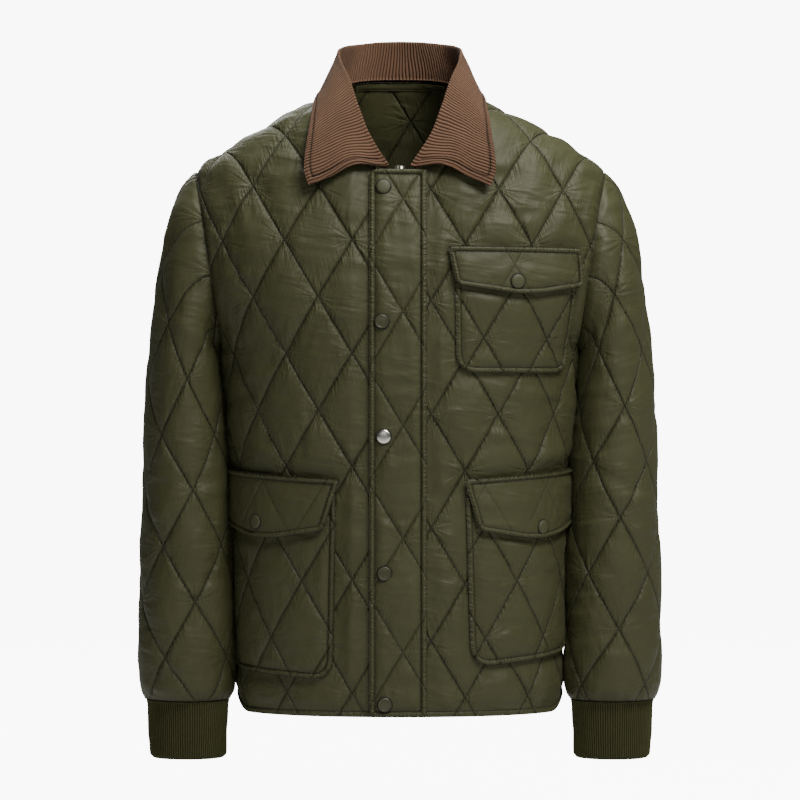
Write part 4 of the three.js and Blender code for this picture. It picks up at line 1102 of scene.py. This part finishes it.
def sleevePiece(name, side, centre, field):
    # Tube: angle round the arm by length up from the cuff, raised by wall, puff, folds and gathers
    angle = np.linspace(-math.pi + sleeveLook["slit"], math.pi - sleeveLook["slit"], sleeveLook["columns"])
    length, rings = sleeveLine(angle)
    total = length[:, -1]
    share = np.linspace(1, 0.2 / 500, sleeveLook["rows"])
    along = share[:, None] * total[None, :]
    ring = np.stack([np.interp(along[:, k], length[k], rings) for k in range(len(angle))], axis=1)
    up = sleeveFoot + along
    turn = np.broadcast_to(angle[None, :], up.shape)
    across = turn * look(girth, "z", "radius", up)
    base = ringPoint(turn, ring)
    base[..., 0] *= side
    normal = gridNormals(base)
    middle = base.mean(axis=1, keepdims=True)
    if np.sum(normal * (base - middle)) < 0:
        normal = -normal
    toCap = np.maximum(total[None, :] - along, 0)
    toUnder = (math.pi - np.abs(turn)) * look(girth, "z", "radius", up)
    # the head of the sleeve swells out at once from its seam, and the puff grows slowly under the arm
    head = smooth((np.cos(turn) - 0.25) / 0.6)
    toSeam = np.minimum(np.minimum(toCap * (1 + head), along), toUnder)
    tip = np.hypot(across, toCap)
    # the lattice drifts a little towards the head, so that no stitch line runs beside the armhole seam
    drift = across - sleeveLook["drift"] * smooth((up + 380) / 190)
    flatter = 0.85 - 0.35 * np.exp(-(turn / 0.45) ** 2)
    puff = quiltHeight(drift, up, centre, quilt["puff"], field, 1.0, sleeveLook["tilt"] * side) * flatter
    gather = noise(across / 7.0, up / 40 + field, (field + 4) % fieldCount) * np.exp(-along / 16)
    relief = (puff + strokes(sleeveFolds, across * side, up)) * seamTaper(toSeam)
    relief += sleeveLook["gather"] * gather * smooth(along / 5)
    relief = fillTip(relief, tip, toCap)
    outer = base + normal * (seamWall(toSeam) + np.maximum(relief, lowest))[..., None]
    inside = quiltHeight(across, up, centre, lining["sleeve"], field, 0.2) * seamTaper(toSeam)
    inner = base - normal * inside[..., None]
    # valley: painted shade along the seams, read by the material's colour
    marks = {"valley": seamShade(toSeam), "topstitch": np.full(up.shape, noStitch), "edgeRun": across}
    piece = shellPiece(name, outer, inner, across, up, marks)
    quiltMap(piece, *quiltLines(drift, up, centre))
    return rideAs(piece, name, shell)


sleevePiece("sleeve_right", 1, (82.0, -353.0), 4)
sleevePiece("sleeve_left", -1, (61.0, -385.0), 6)


def layerPiece(name, outline, middles, base, sizes, centre, folds, field, wrinkle, step,
               covers=(), lift=None, material=shell):
    # A layer that lies on the front: its outline on the pattern, its heights over the body's surface,
    # as wall, then the puff inside the topstitching, then a soft roll along the edge.
    ring = np.concatenate([outline, outline[:1]])
    count = len(outline)

    def run(start, end):
        # the outline from one corner round to another
        return outline[np.arange(start, (end if end > start else end + count) + 1) % count]

    low = min(middles, key=lambda i: outline[i][0] + outline[i][1])
    at = middles.index(low)
    order = middles[at:] + middles[:at]
    turning = np.sum(ring[:-1, 0] * ring[1:, 1] - ring[1:, 0] * ring[:-1, 1])
    if turning < 0:
        outline = outline[::-1]
        ring = ring[::-1]
        order = [count - 1 - m for m in order]
        order = [order[0]] + order[:0:-1]
    if len(order) == 5:
        # a pointed lower edge counts as part of the bottom
        order = [order[0], order[2], order[3], order[4]]
    bottom, right = run(order[0], order[1]), run(order[1], order[2])
    top, left = run(order[2], order[3])[::-1], run(order[3], order[0])[::-1]
    wide = runLength(bottom[:, 0], bottom[:, 1])[-1]
    high = runLength(left[:, 0], left[:, 1])[-1]
    across, up = coons(bottom, right, top, left, int(wide / step) + 2, int(high / step) + 2)
    under = bodyPoint(across, up, front)
    normal = gridNormals(under)
    normal = np.where(normal[..., 1:2] > 0, -normal, normal)
    away = runDistance(ring, across, up)
    relief = quiltHeight(across, up, centre, sizes["puff"], field, wrinkle)
    toLine = np.maximum(away - sizes["roll"], 0)
    share = smooth(toLine / layerEdge["taper"]) ** 0.6 * coverPress(covers, across, up, 2.0, 10.0)
    ruffle = layerEdge["ruffle"] * noise((across + up) / 1.9, (across - up) / 9.0, (field + 5) % fieldCount)
    roll = rolledEdge(away, sizes["roll"], layerEdge["tall"])
    roll += ruffle * (away < sizes["roll"]) * smooth(away / 2)
    height = sizes["wall"] * (0.55 + 0.45 * smooth(away / 2.2)) + np.maximum(relief * share, 0) + roll
    height += strokes(folds, across, up) * smooth(away / 8)
    foot = np.full(up.shape, base) if lift is None else base + lift(up)
    outer = under + normal * (foot + height)[..., None]
    inner = under + normal * foot[..., None]
    level = np.minimum(np.abs(up - up.min()), np.abs(up - up.max())) < np.minimum(
        np.abs(across - across.min()), np.abs(across - across.max()))
    # valley: painted shadow along the edge of the layer, falling off within a few mm
    marks = {"valley": 0.8 * np.exp(-away / 1.2), "topstitch": away - sizes["line"],
             "edgeRun": np.where(level, across, up)}
    piece = shellPiece(name, outer, inner, across, up, marks)
    quiltMap(piece, *quiltLines(across, up, centre))
    wide, tall = ((outline.max(axis=0) - outline.min(axis=0)) * mm).tolist()
    layers[name] = outer
    return rideAs(piece, name, material)


layers = {}   # outer points of each layer, on which the snap caps are seated
# roll: width of the rolled edge, line: distance of the topstitching from the edge, all in mm
stormLook = {"wall": 2.4, "puff": 3.4, "roll": 6.4, "line": 6.9}
pocketLook = {"wall": 2.2, "puff": 3.4, "roll": 5.6, "line": 6.2}
flapLook = {"wall": 2.3, "puff": 0.9, "roll": 5.4, "line": 6.0, "lift": 2.6, "clear": 1.4}
layerEdge = {"taper": 11.0, "tall": 2.3, "ruffle": 0.22}
onPanel = quilt["wall"] + quilt["pressed"] + 0.9
stormOutline, stormMiddles = roundCorners(stormCorners, (1.5, 1.5, 1.5, storm["radius"]))
stormFolds = (
    (-26, -330, 24, -322, 6, 0.9),
    (-28, -470, 20, -486, 6, -0.9),
    (-24, -600, 24, -590, 6, 0.9),
    (-20, -200, 22, -214, 6, -0.8),
)
layerPiece("storm_flap", stormOutline, stormMiddles, onPanel, stormLook, (3.0, -375.0), stormFolds, 8,
           0.9, 1.8, material=shellStorm)

cornerRadii = {"pocket_chest": (3, 3, 22, 22), "pocket_low_right": (3, 3, 34, 26),
               "pocket_low_left": (3, 3, 26, 34), "flap_chest": (2, 2, 5, 26, 5),
               "flap_low_right": (2, 2, 6, 40, 8), "flap_low_left": (2, 2, 8, 40, 6)}
pocketCentres = {"pocket_chest": (90.5, -279.0), "pocket_low_right": (130.0, -546.5),
                 "pocket_low_left": (-108.0, -546.0), "flap_chest": (124.0, -200.0),
                 "flap_low_right": (91.0, -442.0), "flap_low_left": (-79.0, -435.0)}
bagFolds = {
    "pocket_chest": ((70, -300, 96, -262, 5, 0.8), (190, -296, 160, -270, 5, 0.8)),
    "pocket_low_right": ((82, -560, 120, -572, 6, 1.1), (220, -520, 170, -532, 7, 1.0),
                         (90, -615, 130, -600, 5, 0.9)),
    "pocket_low_left": ((-82, -560, -122, -575, 6, 1.1), (-222, -505, -170, -520, 7, 1.0),
                        (-92, -625, -140, -612, 5, 0.9)),
}
for field, name in enumerate(("pocket_chest", "pocket_low_right", "pocket_low_left")):
    outline, middles = roundCorners(pocketEdges[name], cornerRadii[name])
    cover = coverOutlines[name.replace("pocket", "flap")]
    layerPiece(name, outline, middles, onPanel, pocketLook, pocketCentres[name], bagFolds[name], field + 9,
               0.8, 2.2, [cover])
flapBase = onPanel + pocketLook["wall"] + flapLook["clear"]
for field, name in enumerate(("flap_chest", "flap_low_right", "flap_low_left")):
    outline, middles = roundCorners(pocketEdges[name], cornerRadii[name])
    topEdge = max(up for across, up in pocketEdges[name])

    def hang(up, topEdge=topEdge):
        # the flap stands off a little towards its free lower edge
        return flapLook["lift"] * smooth((topEdge - up - 6) / 45)
    layerPiece(name, outline, middles, flapBase, flapLook, pocketCentres[name], (), field + 12, 0.8, 1.7,
               (), hang, shellFlap)


# Ribbed cuffs: rings down from the sleeve, ribs as cosine ridges
cuffColumns = ("z", "halfX", "halfY")
cuffRows = ((-683.3, 46, 44.5), (-692, 44.5, 42.5), (-742, 42.4, 40.2), (-748, 41, 39))
cuffRings = table(cuffColumns, cuffRows)
# around: points on one rib; girth: radius that the flat pattern is unrolled from
cuffLook = {"x": 238.0, "y": -18.0, "wall": 2.2, "ribs": 104, "relief": 1.0, "around": 8, "girth": 43,
            "foot": -748, "runs": ((-683.4, -690, 4), (-694, -742, 13), (-744, -748, 4))}


def cuffPiece(name, side):
    # Tube: ellipse at each height, grown by the ribs, a slow squeeze and a tucked lower edge
    columns = cuffLook["ribs"] * cuffLook["around"]
    turn = np.arange(columns) * 2 * math.pi / columns
    z = np.concatenate([np.linspace(*run) for run in cuffLook["runs"]])
    halfX = look(cuffRings, "z", "halfX", z)[:, None]
    halfY = look(cuffRings, "z", "halfY", z)[:, None]
    rib = 0.5 + 0.5 * np.cos(turn * cuffLook["ribs"])[None, :]
    toFoot = (z - cuffLook["foot"])[:, None]
    fade = smooth(toFoot / 5) * 0.6 + 0.4
    squeeze = 0.8 * np.sin(turn * 3 + 1)[None, :] + 0.7 * noise(turn * 4, z[:, None] / 18, 3)
    squeeze = squeeze * smooth(toFoot / 30)
    tuck = 1.6 * (smooth(toFoot / 3.0) - 1)

    def ring(extra):
        # points of the tube, that much wider than the ellipse
        x = side * (cuffLook["x"] + (halfX + extra) * np.cos(turn)[None, :])
        y = cuffLook["y"] + (halfY + extra) * np.sin(turn)[None, :]
        return np.stack([x, y, np.broadcast_to(z[:, None], x.shape)], axis=-1)

    outer = ring(cuffLook["relief"] * rib * fade + squeeze + tuck)
    inner = ring(squeeze + 0.3 * rib - cuffLook["wall"])
    across = np.broadcast_to((turn * cuffLook["girth"])[None, :], outer.shape[:2])
    up = np.broadcast_to(z[:, None], outer.shape[:2])
    marks = {"rib": np.broadcast_to(rib, outer.shape[:2])}
    piece = shellPiece(name, outer, inner, across, up, marks, closed=True)
    return rideAs(piece, name, knit)


cuffPiece("cuff_right", 1)
cuffPiece("cuff_left", -1)


# Collar: stand and fall in one folded sheet, from the front to the middle of the back
collarColumns = ("station", "neck", "foldX", "foldY", "foldZ", "edgeX", "edgeY", "edgeZ", "bow")
collarRows = (
    (0, 0.11, 13, -113, -89, 100, -126, -112, 10.5),
    (1, 0.24, 25, -111, -71, 105, -122, -95, 5.5),
    (2, 0.4, 37, -105, -49, 104, -115, -75, 2.5),
    (3, 0.56, 48, -93, -20, 101, -103, -54, 1.5),
    (4, 0.72, 57, -72, 9, 98, -79, -31, 1.5),
    (5, 0.87, 66, -40, 31, 95, -42, -13, 1.5),
    (6, 1.0, 69, -4, 46, 91, 0, -4, 1.5),
    (7, 1.15, 64.5, 32, 54, 87, 46, -6, 1.5),
    (8, 1.4, 49.5, 60, 59, 71, 82, -10, 1.5),
    (9, 1.7, 25, 74, 63, 37, 101, -13, 1.5),
    (10, 2.0, 0, 79, 64, 0, 107, -14, 1.5),
)
collarTable = table(collarColumns, collarRows)
# knots are the places along the profile of the seam, the stand, the fold and four points of the fall
collarLook = {"wall": 2.8, "fold": 5.0, "seat": 2.6, "along": 121, "roll": 0.8, "line": 6.9, "wave": 0.55,
              "knots": (0, 1.1, 2, 2.35, 3.6, 4.2, 5.0, 6.4), "fallFrom": 2.35}


def neckEdges(places):
    # Points of the neckline with the directions out of the wall and away from the body
    points, outs, aways = [], [], []
    for place in places:
        face, neck = (front, frontNeck) if place <= 1 else (back, backNeck)
        last = neck["place"][-1]
        share = (place if place <= 1 else 2 - place) * last
        spots = []
        for at in (share, min(share + 0.1, last), max(share - 0.1, 0)):
            x, z = (float(look(neck, "place", name, at)) for name in ("x", "z"))
            spots.append(patternPlace(x, z, face))
        flat = np.array(spots)
        near = flat[0] + 0.8 * np.array([(0, 0), (1, 0), (-1, 0), (0, 1), (0, -1)])
        point, east, west, north, south = bodyPoint(near[:, 0], near[:, 1], face)
        out = np.cross(east - west, north - south) * -face
        out /= np.linalg.norm(out)
        ends = bodyPoint(flat[1:, 0], flat[1:, 1], face)
        away = np.cross(out, ends[0] - ends[1])
        away /= np.linalg.norm(away)
        if -point[0] * away[0] - point[1] * away[1] + away[2] * 20 < 0:
            away = -away
        points.append(point)
        outs.append(out)
        aways.append(away)
    return np.array(points), np.array(outs), np.array(aways)


def collarPiece():
    # Curve from the seam up to the fold and down to the edge at each station, walled to both sides
    half = np.linspace(0, 10, collarLook["along"])
    value = {name: look(collarTable, "station", name, half) for name in collarColumns[1:]}
    point, out, away = neckEdges(value["neck"])
    foot = point + out * quilt["wall"] / 2 + away * collarLook["seat"]
    fold = np.stack([value["foldX"], value["foldY"], value["foldZ"]], axis=-1)
    edge = np.stack([value["edgeX"], value["edgeY"], value["edgeZ"]], axis=-1)
    fall = edge - fold
    wide = np.linalg.norm(fall, axis=-1, keepdims=True)
    over = fold + fall / wide * collarLook["fold"]
    lift = np.array([0, -0.5, 0.85]) * value["bow"][:, None]
    knots = [foot, foot * 0.45 + fold * 0.55, fold, over, fold * 0.65 + edge * 0.35 + lift,
             (fold + edge) / 2 + lift, fold * 0.3 + edge * 0.7 + lift * 0.4, edge]
    knots = np.stack(knots, axis=1)
    rows = {"at": np.array(collarLook["knots"])}
    profile = np.concatenate([np.linspace(0, 1.8, 16), np.linspace(1.84, 2.5, 14), np.linspace(2.6, 6.4, 45)])
    grid = np.zeros((len(half), len(profile), 3))
    for axis in range(3):
        for k in range(len(half)):
            rows["v"] = knots[k, :, axis]
            grid[k, :, axis] = look(rows, "at", "v", profile)
    grid = np.concatenate([grid, (grid[:-1] * (-1, 1, 1))[::-1]])
    run = runLength(grid[:, 40, 0], grid[:, 40, 1], grid[:, 40, 2])
    across = np.broadcast_to(run[:, None], grid.shape[:2]) - run[-1] / 2
    up = runLength(grid[..., 0], grid[..., 1], grid[..., 2])
    normal = gridNormals(grid)
    for _ in range(3):
        normal[:, 1:-1] = normal[:, 1:-1] * 0.5 + 0.25 * (normal[:, 2:] + normal[:, :-2])
        normal /= np.linalg.norm(normal, axis=-1, keepdims=True)
    toEdge = up[:, -1:] - up
    toEnd = np.minimum(run[:, None], run[-1] - run[:, None])
    onFall = profile[None, :] > collarLook["fallFrom"]
    toRim = np.where(onFall, np.minimum(toEdge, toEnd), 99.0)
    wave = collarLook["wave"] * noise(across / 26, up / 22, 2) * smooth(up / 12)
    roll = rolledEdge(toRim, hemRoll["width"], collarLook["roll"])
    thick = collarLook["wall"] / 2 * (0.55 + 0.45 * smooth(np.minimum(toEdge, toEnd) / 1.6))
    outer = grid + normal * (wave + thick + roll)[..., None]
    inner = grid + normal * (wave - thick)[..., None]
    marks = {"topstitch": np.where(onFall, toRim - collarLook["line"], noStitch),
             "edgeRun": np.where(toEdge < toEnd, across, up)}
    piece = shellPiece("collar", outer, inner, across, up, marks)
    return rideAs(piece, "collar", cordFall)


collarPiece()


# Snap caps: name, layer below, x where the place is a width and a height and u where it is on the pattern
snapRows = (
    ("snap_neck", "storm_flap", "x", -18.0, -115.0),
    ("snap_chest", "storm_flap", "x", -19.6, -261.4),
    ("snap_waist", "storm_flap", "x", -17.4, -386.7),
    ("snap_pocket", "storm_flap", "x", -16.7, -536.7),
    ("snap_hem", "storm_flap", "x", -16.4, -679.6),
    ("snap_flap_chest", "flap_chest", "u", 127.0, -217.0),
    ("snap_flap_low_right", "flap_low_right", "u", 160.0, -487.0),
    ("snap_flap_low_left", "flap_low_left", "u", -161.0, -481.0),
)
# Profile of a cap in mm: radius and height, from the middle of the top down to the rim and under
# ringFrom: faces beyond this radius are the painted shadow, a dark ring round a cap
snapLook = {"sides": 40, "radius": 7.6, "ringFrom": 7.65}
domeProfile = ((0, 2.3), (2.5, 2.25), (4.6, 2.05), (6.0, 1.75), (7.0, 1.3), (7.6, 0.8), (7.7, 0.4),
               (8.7, 0.35), (8.8, 0.1), (7.2, 0.0), (0, 0))
rimProfile = ((0, 1.7), (3.0, 1.68), (5.0, 1.6), (5.6, 1.45), (6.0, 1.7), (6.6, 1.95), (7.2, 1.7), (7.7, 0.9),
              (7.75, 0.4), (8.7, 0.35), (8.8, 0.1), (7.2, 0.0), (0, 0))
paintedSnaps = ("snap_chest", "snap_pocket", "snap_hem")   # caps with a raised rim


def snapCap(name, under, kind, first, second):
    # Profile turned about the normal of the cloth, seated on the highest part of the layer below
    across, up = patternPlace(first, second, front) if kind == "x" else (first, second)
    near = np.array([(0, 0), (1, 0), (-1, 0), (0, 1), (0, -1)]) + (across, up)
    point, east, west, north, south = bodyPoint(near[:, 0], near[:, 1], front)
    axis = np.cross(east - west, north - south)
    axis /= np.linalg.norm(axis)
    sideways = (east - west) / np.linalg.norm(east - west)
    upright = np.cross(axis, sideways)
    offset = layers[under].reshape(-1, 3) - point
    height = offset @ axis
    flat = np.hypot(offset @ sideways, offset @ upright)
    seat = np.percentile(height[(flat < snapLook["radius"]) & (height > 4)], 88) + 0.1
    profile = np.array(rimProfile if name in paintedSnaps else domeProfile)
    turn = np.arange(snapLook["sides"]) * 2 * math.pi / snapLook["sides"]
    rings = profile[1:-1]
    around = np.cos(turn)[None, :, None] * sideways + np.sin(turn)[None, :, None] * upright
    body = point + rings[:, 0][:, None, None] * around + (seat + rings[:, 1])[:, None, None] * axis
    centres = point + (seat + profile[[0, -1], 1])[:, None] * axis
    count = snapLook["sides"]
    number = np.arange(len(rings) * count).reshape(len(rings), count)
    following = np.roll(number, -1, axis=1)
    quads = np.stack([number[1:], following[1:], following[:-1], number[:-1]], axis=-1).reshape(-1, 4)
    total = len(rings) * count
    caps = [np.stack([number[0], following[0], np.full(count, total)], axis=-1),
            np.stack([following[-1], number[-1], np.full(count, total + 1)], axis=-1)]
    mesh = bpy.data.meshes.new(name)
    points = np.concatenate([body.reshape(-1, 3), centres]) * mm
    mesh.from_pydata(points.tolist(), [], quads.tolist() + np.concatenate(caps).tolist())
    mesh.polygons.foreach_set("use_smooth", np.full(len(mesh.polygons), True))
    mesh.update()
    piece = bpy.data.objects.new(name, mesh)
    bpy.context.scene.collection.objects.link(piece)
    if name == "snap_waist":
        material, slot = silver, "snap_silver"
    else:
        material, slot = (olivePaint if name in paintedSnaps else oliveCloth), "snap_olive"
    rideAs(piece, name, material)
    # the flat skirt beyond ringFrom takes the painted shadow
    piece.data.materials.append(snapShadow)
    ringFaces = np.zeros(len(mesh.polygons), dtype=np.int32)
    beyond = np.minimum(rings[1:, 0], rings[:-1, 0]) > snapLook["ringFrom"]
    ringFaces[:len(quads)] = np.repeat(beyond, count)
    mesh.polygons.foreach_set("material_index", ringFaces)
    return piece


for row in snapRows:
    snapCap(*row)


# Zip behind the storm flap: woven tape with a raised coil down the middle
zipLook = {"half": 5.6, "wall": 1.6, "under": 0.5, "coil": 0.9, "pitch": 2.4, "ends": 4.5, "pale": 9}


def zipPiece():
    # Strip down the middle; the coil is a bell curve across times a sine wave along
    across, up = np.meshgrid(np.linspace(-zipLook["half"], zipLook["half"], 15),
                             np.linspace(hem["z"] + 4, stormTop + zipLook["ends"], 561))
    under = bodyPoint(across, up, front)
    normal = gridNormals(under)
    normal = np.where(normal[..., 1:2] > 0, -normal, normal)
    near = np.exp(-(across / 2.0) ** 2)
    coil = zipLook["coil"] * near * (0.55 + 0.45 * np.sin(2 * math.pi * up / zipLook["pitch"]))
    outer = under + normal * (zipLook["under"] + zipLook["wall"] + coil)[..., None]
    inner = under + normal * zipLook["under"]
    piece = shellPiece("zip", outer, inner, across, up)
    rideAs(piece, "zip", darkTape)
    # the top rows of the coil are the pale metal stops that show above the storm flap
    piece.data.materials.append(zipPale)
    metal = np.zeros(len(piece.data.polygons), dtype=np.int32)
    rows, columns = across.shape
    top = np.zeros((rows - 1, columns - 1), dtype=np.int32)
    for stop in (slice(3, 6), slice(8, 11)):
        top[-zipLook["pale"]:, stop] = 1
    metal[:top.size] = top.ravel()
    piece.data.polygons.foreach_set("material_index", metal)
    return piece


zipPiece()


# Tape over the seam inside the back of the neck
tapeLook = {"half": 52.0, "drop": 1.0, "tall": 8.0, "wall": 0.9, "under": 1.7, "swell": 0.7}


def neckTape():
    # Band that follows the neckline on the inside of the back, swelling to its middle by half a sine wave
    x = np.linspace(-tapeLook["half"], tapeLook["half"], 61)
    line = np.array([patternPlace(at, float(look(backNeck, "x", "z", abs(at))), back) for at in x])
    drop = np.linspace(tapeLook["tall"] + tapeLook["drop"], tapeLook["drop"], 9)
    across = np.broadcast_to(line[:, 0], (len(drop), len(x)))
    up = line[None, :, 1] - drop[:, None]
    under = bodyPoint(across, up, back)
    normal = gridNormals(under)
    normal = np.where(np.sum(normal * under, axis=-1, keepdims=True) < 0, -normal, normal)
    swell = tapeLook["swell"] * np.sin(np.linspace(0, math.pi, len(drop)))[:, None]
    against = under - normal * tapeLook["under"]
    shown = under - normal * (tapeLook["under"] + tapeLook["wall"] + swell)[..., None]
    marks = {"valley": np.zeros(up.shape), "topstitch": np.full(up.shape, noStitch), "edgeRun": across}
    piece = shellPiece("neck_tape", shown, against, across, up, marks)
    return rideAs(piece, "neck_tape", shellPlain)


neckTape()

# Camera: level with the middle of the jacket, straight in front; sizes in metres
view = {"distance": 4.0, "height": -0.347, "frameWidth": 0.904, "sensor": 36.0, "glow": 9.0,
        "ambient": 0.08, "floor": (14.0, -0.86)}


def makeCamera():
    # focal length = sensor width * distance / width of the frame
    lens = bpy.data.cameras.new("camera")
    lens.sensor_width = view["sensor"]
    lens.lens = view["sensor"] * view["distance"] / view["frameWidth"]
    camera = bpy.data.objects.new("camera", lens)
    camera.location = (0, -view["distance"], view["height"])
    camera.rotation_euler = (math.pi / 2, 0, 0)
    bpy.context.scene.collection.objects.link(camera)
    bpy.context.scene.camera = camera
    return camera


def makeFloor():
    # flat pale floor, bright for the camera alone, so that it throws little light on the jacket
    reach, level = view["floor"]
    points = np.array([(x, y, level) for y in (-reach, reach) for x in (-reach, reach)])
    floor = makeMesh("floor", points / mm, [np.array([[0, 1, 3, 2]])])
    material, tree, shader = newMaterial("floor")
    shader.inputs["Base Color"].default_value = (0.75, 0.75, 0.75, 1)
    shader.inputs["Roughness"].default_value = 0.9
    shader.inputs["Specular IOR Level"].default_value = 0.1
    seen = tree.nodes.new("ShaderNodeLightPath").outputs["Is Camera Ray"]
    glow = multiply(tree, seen, view["glow"])
    shader.inputs["Emission Color"].default_value = (1, 1, 1, 1)
    feed(tree, shader, {"Emission Strength": glow})
    floor.data.materials.append(material)
    return floor


def areaLight(name, place, target, size, power, colour=(1, 1, 1)):
    # a soft box at a place, turned to look at its target
    light = bpy.data.lights.new(name, "AREA")
    light.shape = "RECTANGLE"
    light.size, light.size_y = size
    light.energy = power
    light.color = colour
    lamp = bpy.data.objects.new(name, light)
    lamp.location = place
    lamp.rotation_euler = (Vector(target) - Vector(place)).to_track_quat("-Z", "Y").to_euler()
    bpy.context.scene.collection.objects.link(lamp)
    return lamp


camera = makeCamera()
floor = makeFloor()
lamps = [
    areaLight("key", (0.75, -1.25, 1.25), (0, 0, -0.3), (0.9, 0.7), 48, (1.0, 0.99, 0.96)),
    areaLight("fill", (-0.2, -3.6, 0.5), (0, 0, -0.4), (1.2, 1.2), 6),
    areaLight("top", (0.1, 0.1, 2.1), (0, 0, -0.1), (1.8, 0.7), 52),
    areaLight("back", (-0.6, 2.6, 1.3), (0, 0, -0.3), (1.4, 1.2), 34),
]
# the world is bright for the camera and dim for the jacket
world = bpy.data.worlds.new("world")
world.use_nodes = True
sky = world.node_tree
background = sky.nodes["Background"]
background.inputs["Color"].default_value = (1.0, 1.0, 1.0, 1)
seen = sky.nodes.new("ShaderNodeLightPath").outputs["Is Camera Ray"]
feed(sky, background, {"Strength": add(sky, multiply(sky, seen, view["glow"]), view["ambient"])})
bpy.context.scene.world = world
print("camera, floor and lamps done")
